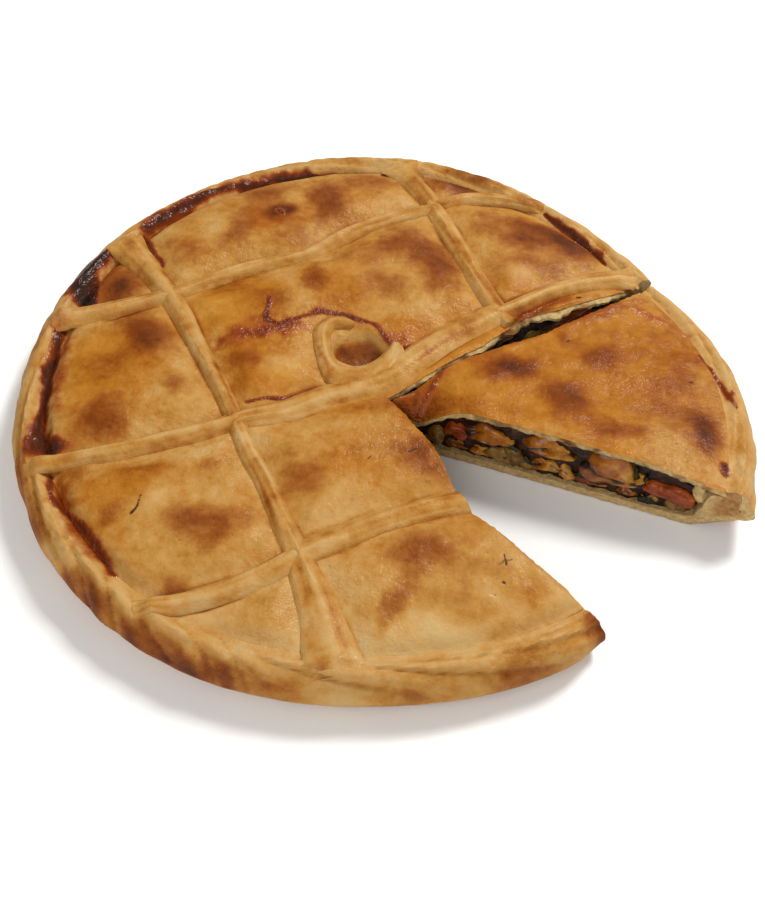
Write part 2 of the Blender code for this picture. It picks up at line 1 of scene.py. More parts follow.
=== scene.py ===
# %% [markdown]
# # A round mussel empanada, dressed for the camera
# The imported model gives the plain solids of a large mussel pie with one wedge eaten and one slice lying
# loose in its place. This script gives each solid its real surface: egg-washed dough that has blistered
# and browned in the oven, juice that has boiled out and burnt in the grooves, pale crumb where the knife
# went through, and the glossy filling that shows there. All lengths below are in millimetres. A finished
# mesh is scaled to metres once, when its object is made, so that every number can be checked with a
# ruler.

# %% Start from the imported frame
from dataclasses import dataclass, replace
from math import atan2, cos, exp, hypot, pi, radians, sin
from random import Random

import bmesh
import bpy
import numpy as np
from mathutils import Matrix, Vector, noise
from mathutils.bvhtree import BVHTree


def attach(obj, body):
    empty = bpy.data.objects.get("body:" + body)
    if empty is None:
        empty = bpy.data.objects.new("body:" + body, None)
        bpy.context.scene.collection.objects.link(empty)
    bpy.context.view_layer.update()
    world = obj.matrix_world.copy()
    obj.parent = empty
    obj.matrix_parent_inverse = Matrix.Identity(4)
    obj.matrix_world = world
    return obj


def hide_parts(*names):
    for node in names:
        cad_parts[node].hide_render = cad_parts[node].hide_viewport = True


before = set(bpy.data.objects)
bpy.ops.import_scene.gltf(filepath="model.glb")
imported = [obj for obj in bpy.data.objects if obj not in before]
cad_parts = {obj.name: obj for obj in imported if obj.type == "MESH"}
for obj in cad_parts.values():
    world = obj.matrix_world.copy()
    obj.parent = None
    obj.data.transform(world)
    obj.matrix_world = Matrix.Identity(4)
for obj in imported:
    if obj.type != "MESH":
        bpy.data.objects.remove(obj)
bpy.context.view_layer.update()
METRE = 0.001
SECTION_SLOT = 1              # in every dough piece, material 0 is its crust and material 1 the cut crumb
print("solids:", ", ".join(sorted(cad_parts)))

# %% [markdown]
# ## The pie's own measures
# A dressed piece has to lie exactly where its solid lies, so the script repeats the few rules that the
# solids were built from: the slightly wavy round of the rim and the knife cuts. A cut could be one
# straight line, but a hand-held knife wanders, so each is a table of (distance from the point where the
# cuts meet, bearing in degrees), and the places between its rows lie straight between them.

# %% Driving dimensions
PIE_RADIUS = 175.0            # a bakery empanada about 350 mm across
BASE_SHEET = 5.0              # thickness of the bottom dough
LID_SHEET = 3.6               # thickness of the lid dough
RIM_CREST_Z = 28.0
RIM_BELLY_Z = 12.0            # height at which the rolled rim is widest
RIM_BAND = 16.2               # width of the rolled rim, seen from above
RIM_MASS = 45.0               # how far in the rim's dough reaches

# The outline swells by a few waves: (waves round the pie, height in mm, bearing of a crest).
OUTLINE_WAVES = ((2, 0.5, 179.0), (3, 1.1, -102.0), (4, 0.85, 130.0), (5, 1.3, 87.0), (6, 0.85, 91.0))
MAIN_BACK_CUT = ((0, 40.0), (30, 39.5), (60, 37.0), (88, 39.6), (108, 35.4), (130, 34.2), (165, 33.6))
MAIN_FRONT_CUT = ((0, -53.0), (34, -53.5), (54, -58.5), (75, -60.0), (100, -56.0), (130, -53.0),
                  (165, -50.0))
SLICE_BACK_CUT = ((0, 38.0), (30, 36.5), (60, 32.8), (85, 30.2), (115, 30.7), (165, 32.2))
SLICE_FRONT_CUT = ((0, -18.1), (190, -18.1))


def between(table, x):
    """Value at x of a table of (x, value) rows, straight between them."""
    return np.interp(x, [row[0] for row in table], [row[1] for row in table])


def outline_radius(angle):
    """Radius of the rim in a direction from the middle of the pie."""
    return PIE_RADIUS + sum(height * np.cos(waves * angle - radians(crest))
                            for waves, height, crest in OUTLINE_WAVES)


REACH_ROUNDS = 6              # rounds of correction until a ray ends on the outline


@dataclass
class Portion:
    """A part of the round between two knife cuts that meet at its apex."""
    name: str
    apex: tuple
    centre: tuple
    first_cut: tuple
    last_cut: tuple
    whole_turn: float         # degrees added to the last cut's bearing
    rays: int                 # a multiple of 32, so that rays can be run together near the apex

    def spread(self):
        """The angle between the two cuts where they meet."""
        return radians(self.last_cut[0][1] + self.whole_turn - self.first_cut[0][1])

    def bearing(self, share, away):
        """Direction of a ray, which bends as the two knife cuts do."""
        first = between(self.first_cut, away)
        last = between(self.last_cut, away) + self.whole_turn
        return np.radians(first + (last - first) * share)

    def on_ray(self, share, away):
        """Plan positions at a distance from the apex along a ray."""
        angle = self.bearing(share, away)
        return self.apex[0] + away * np.cos(angle), self.apex[1] + away * np.sin(angle)

    def from_centre(self, x, y):
        """Distance and direction of places from the middle of the portion's round."""
        dx, dy = x - self.centre[0], y - self.centre[1]
        return np.hypot(dx, dy), np.arctan2(dy, dx)

    def from_apex(self, x, y):
        """Distance of places from the point where the cuts meet."""
        return np.hypot(x - self.apex[0], y - self.apex[1])

    def place(self, share, nominal):
        """Plan positions of profile points that are `nominal` mm out on a plain round of PIE_RADIUS."""
        reach = np.full_like(share, PIE_RADIUS)
        for _ in range(REACH_ROUNDS):
            away, angle = self.from_centre(*self.on_ray(share, reach))
            reach = reach + outline_radius(angle) - away
        inner = nominal * (reach - RIM_MASS) / (PIE_RADIUS - RIM_MASS)
        outer = reach - (PIE_RADIUS - nominal)
        return self.on_ray(share, np.where(nominal < PIE_RADIUS - RIM_MASS, inner, outer))


PIE = Portion("pie", (12.0, -14.0), (0.0, 0.0), MAIN_BACK_CUT, MAIN_FRONT_CUT, 360.0, 736)
SLICE = Portion("slice", (14.0, -14.8), (19.8, -31.1), SLICE_FRONT_CUT, SLICE_BACK_CUT, 0.0, 160)
for portion in (PIE, SLICE):
    print(f"{portion.name}: {np.degrees(portion.spread()):.0f} degrees of a round")

# %% [markdown]
# ## Where the dough strips run
# The baker laid thin strips of dough over the lid before baking, and a thicker rope round the steam vent.
# They could be straight bars of one width, but they are hand made: each one wanders and swells. So each
# is a short list of (x, y, width) along its middle, joined by a smooth curve, and a strip that passes
# under another stops at its side.

# %% Strips
STRIPS = {
    "strip_a": ((-131, 97, 20), (-122, 84, 15), (-107, 62, 12.5), (-96, 44, 10.5), (-86, 22, 9.5),
                (-76, 2, 9), (-67, -18, 9), (-55, -48, 9.5), (-45, -68, 9.5), (-37, -88, 10),
                (-30, -104, 12), (-22, -123, 16), (-16, -140, 19), (-12, -155, 23), (-10, -164, 26)),
    "strip_b": ((17.5, 164, 20), (24, 152, 13), (33, 134, 11.5), (41, 114, 11), (50, 92, 11),
                (57, 74, 10.5), (64, 58, 10.5), (70, 47, 10), (75, 40, 10)),
    "strip_c_left": ((-161, 38, 13), (-145, 42, 12), (-130, 45, 12.5), (-115, 50, 10), (-101, 54, 8)),
    "strip_c_middle": ((-101, 54.5, 9), (-80, 65, 9.5), (-60, 75, 9), (-40, 82, 8), (-28, 88, 8.5),
                       (-15, 99, 10), (0, 109, 9.5), (20, 119, 8.5), (38, 126, 7.5)),
    "strip_c_right": ((38, 128, 8), (52, 136, 9), (66, 138, 10), (80, 137, 8), (95, 132, 6)),
    "strip_d_left": ((-159, -58, 10), (-140, -53, 9), (-120, -50, 10.5), (-100, -45, 11.5),
                     (-85, -40, 11.5), (-72, -35, 11), (-61, -30, 11)),
    "strip_d_middle": ((-62, -31, 12), (-55, -28, 12.5), (-40, -24, 13.5), (-28, -18, 14),
                       (-15, -12, 13.5), (0, -7, 13), (14, 1, 15), (28, 15, 16), (42, 28, 16),
                       (56, 38, 15), (68, 46, 13)),
    "strip_d_right": ((68, 45, 9), (80, 52, 10), (94, 61, 9), (105, 67, 9.5), (118, 73, 11.5),
                      (131, 77, 13), (142, 79, 13)),
    "strip_e_left": ((-98, -135, 8), (-76, -131, 10.5), (-60, -126, 11), (-45, -119, 11.5),
                     (-29, -109, 12)),
    "strip_e_right": ((-30, -109, 13), (-22, -104, 14), (-8, -97, 13.5), (8, -89, 12.5),
                      (24, -83, 12), (38, -78, 12.5), (47, -76, 12.5)),
}
CHIMNEY_ROPE = ((-7, 33, 5), (-12, 34.5, 8.5), (-18, 33.5, 9), (-21.5, 28, 9), (-21.5, 20, 8),
                (-20.5, 12, 7.5), (-18, 5, 9), (-13, 0, 13), (-5, -2, 17), (4, -0.5, 18), (11, 6, 15),
                (15, 14, 11), (16, 20, 7))


def smooth_path(rows, step):
    """Evenly spaced (x, y, width) samples of a Catmull-Rom curve through the rows."""
    rows = np.array(rows, float)
    rows = np.vstack((2 * rows[0] - rows[1], rows, 2 * rows[-1] - rows[-2]))
    samples = []
    for a, b, c, d in zip(rows, rows[1:], rows[2:], rows[3:]):
        pieces = max(1, round(hypot(*(c - b)[:2]) / step))
        for t in np.arange(pieces) / pieces:
            samples.append(0.5 * (2 * b + (c - a) * t + (2 * a - 5 * b + 4 * c - d) * t * t
                                  + (3 * b - a - 3 * c + d) * t ** 3))
    return np.array(samples + [rows[-2]])


def nearest_on(path, x, y):
    """Distance from places to a path, and the path's width there."""
    best, width = np.full(x.shape, np.inf), np.zeros(x.shape)
    for a, b in zip(path, path[1:]):
        run_x, run_y = b[0] - a[0], b[1] - a[1]
        t = np.clip(((x - a[0]) * run_x + (y - a[1]) * run_y) / (run_x ** 2 + run_y ** 2), 0, 1)
        dx, dy = x - a[0] - run_x * t, y - a[1] - run_y * t
        away = np.hypot(dx, dy)
        closer = away < best
        best[closer] = away[closer]
        width[closer] = (a[2] + (b[2] - a[2]) * t)[closer]
    return best, width


LINE_STEP = 6.0               # coarse steps do where a line is only measured from
STRIP_LINES = {name: smooth_path(rows, LINE_STEP) for name, rows in STRIPS.items()}
print("strips:", len(STRIP_LINES), "and one rope round the vent")

# %% [markdown]
# ## Tops of the pie and of the slice
# The lid of the pie is a flat dome that has sunk under the strips and into the vent. The loose slice lies
# nearly level, its lid has puffed up over the open cut, and its unsupported tip hangs down. These forms
# could be sculpted by hand, but as functions of the place in plan they also tell a strip or a drop of
# juice the height of the dough under it.

# %% Height of the pie's lid
LID_MIDDLE_Z = 34.0
LID_EDGE_Z = 25.0
STRIP_BED = 2.4               # how deep a strip has sunk into the lid
STRIP_BED_REACH = 7.0
CHIMNEY_EYE = (-3.0, 18.5, 13.0, 10.0)    # middle x, y and half lengths of the vent's hollow
CHIMNEY_DEPTH = 10.5


def stepped_array(value, low, high):
    """0 below low and 1 above high, smooth between, for an array."""
    t = np.clip((value - low) / (high - low), 0, 1)
    return t * t * (3 - 2 * t)


def dome(x, y):
    """The lid's broad form: a flat dome that falls towards the rim."""
    away, angle = PIE.from_centre(x, y)
    outwards = np.minimum(1.0, away / (outline_radius(angle) - RIM_BAND))
    return LID_MIDDLE_Z - (LID_MIDDLE_Z - LID_EDGE_Z) * outwards ** 6, outwards


def strip_bed(x, y):
    """How far the lid has sunk under the strips, as a share of the deepest."""
    beds = [np.exp(-(away / (width / 2 + STRIP_BED_REACH)) ** 2)
            for away, width in (nearest_on(line, x, y) for line in STRIP_LINES.values())]
    return np.max(beds, axis=0)


def vent_dip(x, y):
    """The hollow of the steam vent: 1 where it is deepest, at its near side."""
    eye_x, eye_y, half_x, half_y = CHIMNEY_EYE
    nearness = np.clip((eye_y + half_y - y) / half_y, 0, 1)
    out = ((x - eye_x) / half_x) ** 2 + ((y - eye_y) / half_y) ** 2
    return np.exp(-out ** 3) * (0.35 + 0.65 * nearness)


def pie_top(x, y):
    """Top of the pie's lid."""
    z, outwards = dome(x, y)
    return z - STRIP_BED * strip_bed(x, y) * (1 - outwards ** 8) - CHIMNEY_DEPTH * vent_dip(x, y)


vent = pie_top(np.array([CHIMNEY_EYE[0]]), np.array([CHIMNEY_EYE[1] - 3.0]))
print("the vent's floor lies", round(LID_MIDDLE_Z - float(vent[0]), 1), "mm under the lid's crown")

# %% Height of the slice's lid
SLICE_MIDDLE_Z = 35.6
SLICE_EDGE_Z = 31.5
SLICE_CREST_FRONT_Z = 33.5    # the slice's rim stands higher at its front cut than at its back cut
SLICE_CREST_BACK_Z = 29.0
SLICE_LENGTH = 168.0
SLICE_SPREAD = 50.0           # degrees from the front cut to the back cut
TIP_DROOP_FRONT = 14.0        # how far the tip hangs, at the front cut and at the back cut
TIP_DROOP_BACK = 5.0
TIP_DROOP_PLACE = 12.0
TIP_DROOP_REACH = 14.0
FRONT_PUFF = 3.6              # how far the lid has risen over the open cut
FRONT_PUFF_REACH = 30.0
PUFF_STARTS = (20, 46)        # it rises between these distances from the tip
PUFF_ENDS = (132, 166)        # and comes down again between these


def slice_lean(x, y):
    """0 along the slice's front cut and 1 along its back cut."""
    bearing = np.degrees(np.arctan2(y - SLICE.apex[1], x - SLICE.apex[0]))
    return np.clip((bearing - SLICE_FRONT_CUT[0][1]) / SLICE_SPREAD, 0, 1)


def slice_top(x, y):
    """Top of the loose slice's lid."""
    away, lean = SLICE.from_apex(x, y), slice_lean(x, y)
    edge = SLICE_EDGE_Z - lean * (SLICE_CREST_FRONT_Z - SLICE_CREST_BACK_Z)
    z = SLICE_MIDDLE_Z - (SLICE_MIDDLE_Z - edge) * np.minimum(1.0, away / SLICE_LENGTH) ** 4
    droop = TIP_DROOP_FRONT - lean * (TIP_DROOP_FRONT - TIP_DROOP_BACK)
    in_from_cut = away * np.sin(np.radians(lean * SLICE_SPREAD))
    puffed = stepped_array(away, *PUFF_STARTS) * (1 - stepped_array(away, *PUFF_ENDS))
    puff = FRONT_PUFF * puffed * np.exp(-(in_from_cut / FRONT_PUFF_REACH) ** 2)
    return z + puff - droop * np.exp(-((away - TIP_DROOP_PLACE) / TIP_DROOP_REACH) ** 2)


TOP = {"pie": pie_top, "slice": slice_top}
tip = slice_top(np.array([SLICE.apex[0] + 1.0]), np.array([SLICE.apex[1]]))
print("the slice's tip hangs", round(SLICE_MIDDLE_Z - float(tip[0]), 1), "mm under its middle")

# %% [markdown]
# ## Working with many points at once
# Blender's own operators make every mesh here. What follows is sculpting: the points of a finished mesh
# are read into one array, moved by a rule, and written back. A loop over the vertices would do the same,
# but an array is a hundred times faster and keeps the rules readable.

# %% Reading and moving points
def mesh_from(bm, name):
    """Close off a bmesh as a mesh."""
    mesh = bpy.data.meshes.new(name)
    bm.to_mesh(mesh)
    bm.free()
    return mesh


def points(mesh):
    """All vertices of a mesh as an (n, 3) array."""
    flat = np.empty(len(mesh.vertices) * 3)
    mesh.vertices.foreach_get("co", flat)
    return flat.reshape(-1, 3)


def move_to(mesh, places):
    """Give all vertices new places."""
    mesh.vertices.foreach_set("co", places.ravel())
    mesh.update()


def from_above(places):
    """The same places, flat on the table."""
    return places * (1, 1, 0)


def outward(mesh):
    """The direction of every vertex's normal."""
    flat = np.empty(len(mesh.vertices) * 3)
    mesh.vertex_normals.foreach_get("vector", flat)
    return flat.reshape(-1, 3)


SEED_STEP = (7.31, 3.17, 1.73)    # another seed looks at another part of the same noise


def ripple(places, size, seed):
    """Smooth noise from about -1 to 1, its bumps `size` mm across."""
    shift = Vector([step * seed for step in SEED_STEP])
    return np.array([noise.noise(Vector(place) / size + shift) for place in places])


print("noise where the pie's cuts meet:", ripple([PIE.apex + (0,)], 30, 1).round(3))


# %% Finishing a mesh
def tidy(mesh, distance=0.02):
    """Merge points that fell together and turn every face outwards."""
    bm = bmesh.new()
    bm.from_mesh(mesh)
    bmesh.ops.remove_doubles(bm, verts=bm.verts, dist=distance)
    bmesh.ops.recalc_face_normals(bm, faces=bm.faces)
    bm.to_mesh(mesh)
    bm.free()


def set_field(mesh, name, values):
    """Store one number for each vertex, which a material can read."""
    layer = mesh.attributes.new(name, "FLOAT", "POINT")
    layer.data.foreach_set("value", np.ascontiguousarray(values, dtype=np.float32))


def stored(mesh, name):
    """Such a number, read back for every vertex."""
    values = np.empty(len(mesh.vertices), dtype=np.float32)
    mesh.attributes[name].data.foreach_get("value", values)
    return values


FAR = 5.0                     # a distance beyond which a crack or a strip makes no difference
PLAIN = {"crack": FAR, "skin": 0.0, "stain": 0.0, "swirl": 0.0}


def fields(mesh, **named):
    """Store the numbers that the dough's materials read.  Those that aren't named are plain."""
    for name, values in {**PLAIN, **named}.items():
        set_field(mesh, name, np.broadcast_to(values, len(mesh.vertices)))


SHARP_FROM = radians(50)      # a torn or cut edge is sharper than this, and a roll of dough softer


def finish(mesh, name, materials, slot, *nodes):
    """Show a mesh, scaled to metres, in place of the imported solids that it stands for."""
    mesh.transform(Matrix.Scale(METRE, 4))
    mesh.shade_smooth()
    mesh.set_sharp_from_angle(angle=SHARP_FROM)
    for material in materials:
        mesh.materials.append(material)
    piece = bpy.data.objects.new(name, mesh)
    bpy.context.scene.collection.objects.link(piece)
    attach(piece, "root")
    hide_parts(*nodes)
    print(f"{name}: {len(mesh.vertices)} points, {len(mesh.polygons)} faces")
    return piece


# %% [markdown]
# ## Materials
# Baked dough is one material in many states. Pale where a strip shaded it, golden where the egg wash
# took, brown on every blister that stood near the oven's roof, nearly black where juice boiled over and
# burnt. Each state could have a material of its own, but then they would meet in hard lines. So the crust
# is one shader with colour ramps, and the meshes carry the state: `browning` runs along the ramps, `egg`
# chooses between them, `juice` lays the boiled-out sauce over them, and `wet` polishes the skin.

# %% Shader helpers
def linear(code):
    """A linear colour from an sRGB hex code such as C8964B."""
    channels = [int(code[i:i + 2], 16) / 255 for i in (0, 2, 4)]
    return (*(c / 12.92 if c <= 0.04045 else ((c + 0.055) / 1.055) ** 2.4 for c in channels), 1.0)


def add(tree, kind, inputs=None, **settings):
    """Add a shader node with its settings, and set or link its inputs."""
    made = tree.nodes.new("ShaderNode" + kind)
    for key, value in settings.items():
        setattr(made, key, value)
    for socket, value in (inputs or {}).items():
        if isinstance(value, bpy.types.NodeSocket):
            tree.links.new(value, made.inputs[socket])
        else:
            made.inputs[socket].default_value = value
    return made


def blank(name):
    """A new material with an empty node tree."""
    material = bpy.data.materials.new(name)
    material.use_nodes = True
    material.node_tree.nodes.clear()
    return material, material.node_tree


def speckle(tree, size_mm, detail=2.0, roughness=0.5, distortion=0.0):
    """Noise on the object's own coordinates, its grains about `size_mm` across."""
    where = add(tree, "TexCoord").outputs["Object"]
    made = add(tree, "TexNoise", {"Vector": where, "Scale": 1000 / size_mm, "Detail": detail,
                                  "Roughness": roughness, "Distortion": distortion})
    return made.outputs["Fac"]


def field(tree, name):
    """The number that a mesh carries under this name."""
    return add(tree, "Attribute", attribute_name=name).outputs["Fac"]


def sums(tree, first, *terms):
    """first + value * weight + ... for (value, weight) terms."""
    total = first
    for value, weight in terms:
        total = add(tree, "Math", {0: value, 1: weight, 2: total}, operation="MULTIPLY_ADD").outputs[0]
    return total


def product(tree, first, second):
    """Two values multiplied."""
    return add(tree, "Math", {0: first, 1: second}, operation="MULTIPLY").outputs[0]


def stepped(tree, value, low, high):
    """0 below low and 1 above high, smooth between."""
    return add(tree, "MapRange", {"Value": value, "From Min": low, "From Max": high},
               interpolation_type="SMOOTHSTEP").outputs["Result"]


def ramp(tree, value, stops):
    """A colour ramp from (position, hex code) stops."""
    made = add(tree, "ValToRGB", {"Fac": value})
    elements = made.color_ramp.elements
    elements.remove(elements[1])
    for i, (position, code) in enumerate(stops):
        stop = elements[0] if i == 0 else elements.new(position)
        stop.position = position
        stop.color = linear(code)
    return made.outputs["Color"]


def mixed(tree, share, first, second):
    """A colour between two others, which are sockets or hex codes."""
    first, second = (linear(c) if isinstance(c, str) else c for c in (first, second))
    return add(tree, "Mix", {"Factor": share, 6: first, 7: second}, data_type="RGBA").outputs[2]


def bumped(tree, height, depth_mm, below=None):
    """Fine relief of this depth, on top of another one."""
    inputs = {"Height": height, "Distance": depth_mm * METRE, "Strength": 1.0}
    if below:
        inputs["Normal"] = below
    return add(tree, "Bump", inputs).outputs["Normal"]


def surface(tree, colour, rough, normal, **constants):
    """The principled shader and the output.  Constants are set on the shader's own sockets."""
    inputs = {"Base Color": colour, "Roughness": rough, "Normal": normal}
    inputs.update({name.replace("_", " "): value for name, value in constants.items()})
    shader = add(tree, "BsdfPrincipled", inputs)
    add(tree, "OutputMaterial", {"Surface": shader.outputs[0]})


print("C8964B as a linear colour:", [round(channel, 3) for channel in linear("C8964B")])

# %% [markdown]
# ### Egg-washed crust
# Egg wash dries to a thin clear skin over golden dough, which is why a thin glossy coat lies over a satin
# base. One glossy shader would look like plastic, because a baked skin shines only in small beads where
# the wash or the juice lay thick. The oven browns it unevenly: broad blotches come with the mesh,
# mottling of 4 to 15 mm and pin-head speckles of 1 to 2 mm come from noise, so that no two places are
# quite alike.

# %% Crust material
FLOURY_STOPS = ((0.0, "B89863"), (0.2, "B78E54"), (0.4, "AB7A38"), (0.56, "986027"), (0.72, "824616"),
                (0.88, "6A330E"), (1.0, "54260A"))
EGGY_STOPS = ((0.0, "BA8B42"), (0.2, "AE7529"), (0.4, "9E6117"), (0.56, "8A4A0D"), (0.72, "743706"),
              (0.88, "5E2A05"), (1.0, "482004"))
JUICE_STOPS = ((0.0, "A0560F"), (0.3, "8E4308"), (0.5, "6E2903"), (0.7, "4C1E07"), (0.9, "341A0D"),
               (1.0, "27150D"))
CRACK_AND_SHADE_BROWN = "452B10"


def egg_washed_crust(name):
    """Baked dough under a skin of egg wash: satin where it soaked in, beaded and glossy on the juice."""
    material, tree = blank(name)
    wet = field(tree, "wet")
    freckles = stepped(tree, speckle(tree, 2.1, 1), 0.66, 0.74)
    state = sums(tree, -0.48, (field(tree, "browning"), 1.0), (speckle(tree, 15, 4, 0.6), 0.55),
                 (speckle(tree, 4.5, 3, 0.6), 0.32), (speckle(tree, 1.3, 2), 0.09), (freckles, 0.06))
    egg = stepped(tree, sums(tree, field(tree, "egg"), (speckle(tree, 9, 3), 0.5)), 0.35, 1.0)
    dough = mixed(tree, egg, ramp(tree, state, FLOURY_STOPS), ramp(tree, state, EGGY_STOPS))
    juice = sums(tree, -0.31, (field(tree, "juice"), 1.0), (speckle(tree, 9, 3, 0.55), 0.5),
                 (speckle(tree, 3, 2), 0.12))
    share = stepped(tree, juice, 0.04, 0.42)
    colour = mixed(tree, share, dough, ramp(tree, juice, JUICE_STOPS))
    # dark brown in real cracks, and painted shade on the vent's deep floor, both carried by the crack field
    torn = sums(tree, field(tree, "crack"), (speckle(tree, 2.5, 2), 0.8))
    colour = mixed(tree, stepped(tree, torn, 1.05, 0.5), colour, CRACK_AND_SHADE_BROWN)
    shine = sums(tree, 0.42, (wet, -0.14), (share, -0.1), (speckle(tree, 3, 3, 0.7), 0.45))
    coat = sums(tree, 0.05, (share, 0.2), (stepped(tree, wet, 0.4, 1.2), 0.09))
    grain = bumped(tree, speckle(tree, 1.2, 3, 0.6), 0.11)
    bubbles = product(tree, speckle(tree, 2.4, 2), wet)
    normal = bumped(tree, bubbles, 1.1, bumped(tree, speckle(tree, 6, 2), 0.6, grain))
    beads = product(tree, speckle(tree, 3.2, 2), sums(tree, 0.25, (share, 1.0)))
    surface(tree, colour, shine, normal, Coat_Weight=coat, Coat_Roughness=0.11,
            Coat_Normal=bumped(tree, beads, 0.8, normal), Specular_IOR_Level=0.07)
    return material


CRUST = egg_washed_crust("baked_dough_egg_washed")
STRIP_CRUST = egg_washed_crust("dough_strip_egg_washed")
print("nodes in the crust's material:", len(CRUST.node_tree.nodes))

# %% [markdown]
# ### Crumb at the knife cuts
# Where the knife went through, the dough shows its inside: matt, cream-grey, close-grained bread with
# small torn holes. Its skin is a thin brown line at the top and a toasted one at the bottom, and steam
# from the filling has stained it from within. A plain cream would look like putty, so the grain, the
# stain and the toasted skin are laid over one another, each with its own noise at the edge.

# %% Crumb material
def bread_crumb():
    """Cut bread dough: a matt cream crumb, stained a little by the filling."""
    material, tree = blank("bread_crumb_knife_cut")
    crumb = ramp(tree, speckle(tree, 2.2, 4, 0.7), ((0.3, "9C7F4C"), (0.5, "B99A64"), (0.7, "CBB07C")))
    rolled = stepped(tree, sums(tree, field(tree, "swirl"), (speckle(tree, 4, 3, 0.6), 0.5)), 0.5, 1.5)
    browner = ramp(tree, speckle(tree, 3, 3), ((0.35, "8A5A2E"), (0.65, "A87C4A")))
    crumb = mixed(tree, rolled, crumb, browner)
    wet = stepped(tree, sums(tree, field(tree, "stain"), (speckle(tree, 4, 3), 0.6)), 0.55, 1.0)
    stained = mixed(tree, wet, crumb, ramp(tree, speckle(tree, 7, 3), ((0.35, "3E200C"), (0.65, "8A5A26"))))
    toasted = stepped(tree, sums(tree, field(tree, "skin"), (speckle(tree, 2.5, 2), 0.5)), 0.6, 1.1)
    colour = mixed(tree, toasted, stained, "7A4A1E")
    normal = bumped(tree, speckle(tree, 1.3, 4, 0.7), 0.7)
    surface(tree, colour, 0.75, normal, Specular_IOR_Level=0.2)
    return material


CRUMB = bread_crumb()
print("dough materials:", CRUST.name, STRIP_CRUST.name, CRUMB.name)

# %% [markdown]
# ## Browning, place by place
# Blisters brown first, because they stand closest to the heat. Noise alone could scatter them, but each
# pie has its own, so the places below are listed: (x, y, half length, half width, turn in degrees,
# strength). Each is a soft oval whose edge is pulled about by noise. Negative strengths are the pale
# places that lay in the shade of a strip or the rim.

# %% Browned and pale places
PIE_SPOTS = (
    (-57, 137, 15, 8, 10, .5), (-47, 117, 8, 7, 0, .8), (-22, 124, 11, 15, 20, .55),
    (0, 150, 17, 9, 0, .35), (-40, 100, 10, 8, 0, .25), (-98, 88, 10, 8, 0, .2),
    (-68, 103, 9, 15, -10, .3), (-110, 118, 16, 6, 40, .35), (52, 157, 24, 11, -25, .65),
    (-146, 68, 7, 26, -30, .8), (-130, 64, 13, 13, -20, .7), (-112, 25, 17, 13, -20, .55),
    (-93, -9, 9, 9, 0, .3), (-127, -29, 14, 12, 20, .45), (-130, 3, 14, 12, 0, .15),
    (-105, -61, 14, 6, 5, .22), (-72, -60, 6, 5, 0, .25), (-73, -90, 17, 10, 0, .55),
    (-66, -102, 9, 6, 40, .32), (-83, -126, 10, 5, 10, .45), (-42, -140, 15, 11, 20, .25),
    (-70, 63, 13, 7, 25, .3), (-26, 65, 9, 11, 0, .4), (-47, 50, 10, 8, 0, .3), (-60, 7, 11, 9, 30, .3),
    (28, 88, 22, 12, -25, .6), (14, 109, 5, 5, 0, .25), (40, 72, 9, 12, -20, .3),
    (15, 58, 10, 10, 0, .22), (94, 106, 25, 14, -15, .6), (85, 85, 8, 6, 0, .25),
    (112, 100, 12, 20, 30, .35), (62, 120, 6, 5, 0, .15), (90, 51, 18, 4, 32, .55),
    (-27, -66, 13, 9, 10, .3), (-13, -55, 6, 5, 0, .2), (10, -20, 17, 7, 10, .25),
    (25, -47, 10, 7, 0, .25), (38, -60, 10, 8, 0, .2), (26, -105, 17, 12, -10, .4),
    (16, -136, 6, 15, -20, .45), (24, -147, 6, 5, 0, .3), (47, -134, 10, 7, 0, .25),
    (-118, -90, 10, 6, 60, .25), (-137, -62, 9, 8, 0, .35), (-48, -42, 9, 7, 0, -.3),
    (-42, -128, 40, 24, 15, -.14), (-44, -32, 45, 5, 25, -.12), (5, -152, 60, 9, 0, -.2),
    (72, 80, 12, 8, 30, .12), (60, -135, 40, 10, 20, -.2), (20, -144, 30, 8, 0, -.2),
    (48, 147, 18, 9, -12, .6), (-62, 120, 20, 12, 0, .2), (84, 98, 10, 8, 0, .2),
    (5, 62, 14, 12, 0, .15), (39, 60, 10, 10, 0, .3), (26, -52, 14, 12, 0, .25),
    (-98, -80, 12, 8, 0, -.15), (-5, -90, 30, 5, 22, -.1), (-85, -132, 24, 6, 0, -.15),
    (-100, -57, 30, 4, 8, -.15), (50, 20, 30, 4, 40, -.1), (0, 82, 12, 9, 0, .25),
    (98, 80, 12, 9, 0, .3), (22, -58, 12, 9, 0, .12), (45, -120, 16, 8, 20, .1),
    (76, -125, 10, 7, 0, .25), (-75, 112, 12, 10, 0, -.15), (60, -138, 14, 8, 20, .2),
    (-15, 140, 14, 8, 0, .2), (-88, 40, 16, 10, 20, -.2), (-132, 20, 14, 10, 0, -.25),
    (-40, 0, 14, 7, 15, -.3), (-134, 62, 10, 12, 0, .15),
)
SLICE_SPOTS = (
    (76, 6, 13, 9, 0, .5), (100, -16, 12, 11, 0, .45), (125, 18, 15, 10, 10, .12),
    (103, 25, 5, 5, 0, .25), (166, -33, 8, 14, 10, .6), (27, -14, 15, 11, 15, .5), (60, 2, 10, 7, 0, .2),
    (88, -6, 30, 12, -10, .08), (140, -5, 20, 18, 0, .06), (176, -2, 5, 22, 0, .2),
    (170, 22, 8, 10, 0, .3), (72, 22, 26, 4, 30, .3), (120, 47, 30, 5, 28, .3),
    (162, 45, 10, 18, 20, .2), (45, -5, 12, 12, 0, -.1), (158, -14, 20, 26, 0, .3),
    (122, -34, 20, 8, -15, .25), (150, 20, 22, 16, 0, .1), (116, 14, 12, 8, 0, .3),
    (76, 1, 10, 7, 0, .2), (60, -22, 30, 6, -15, .15),
)

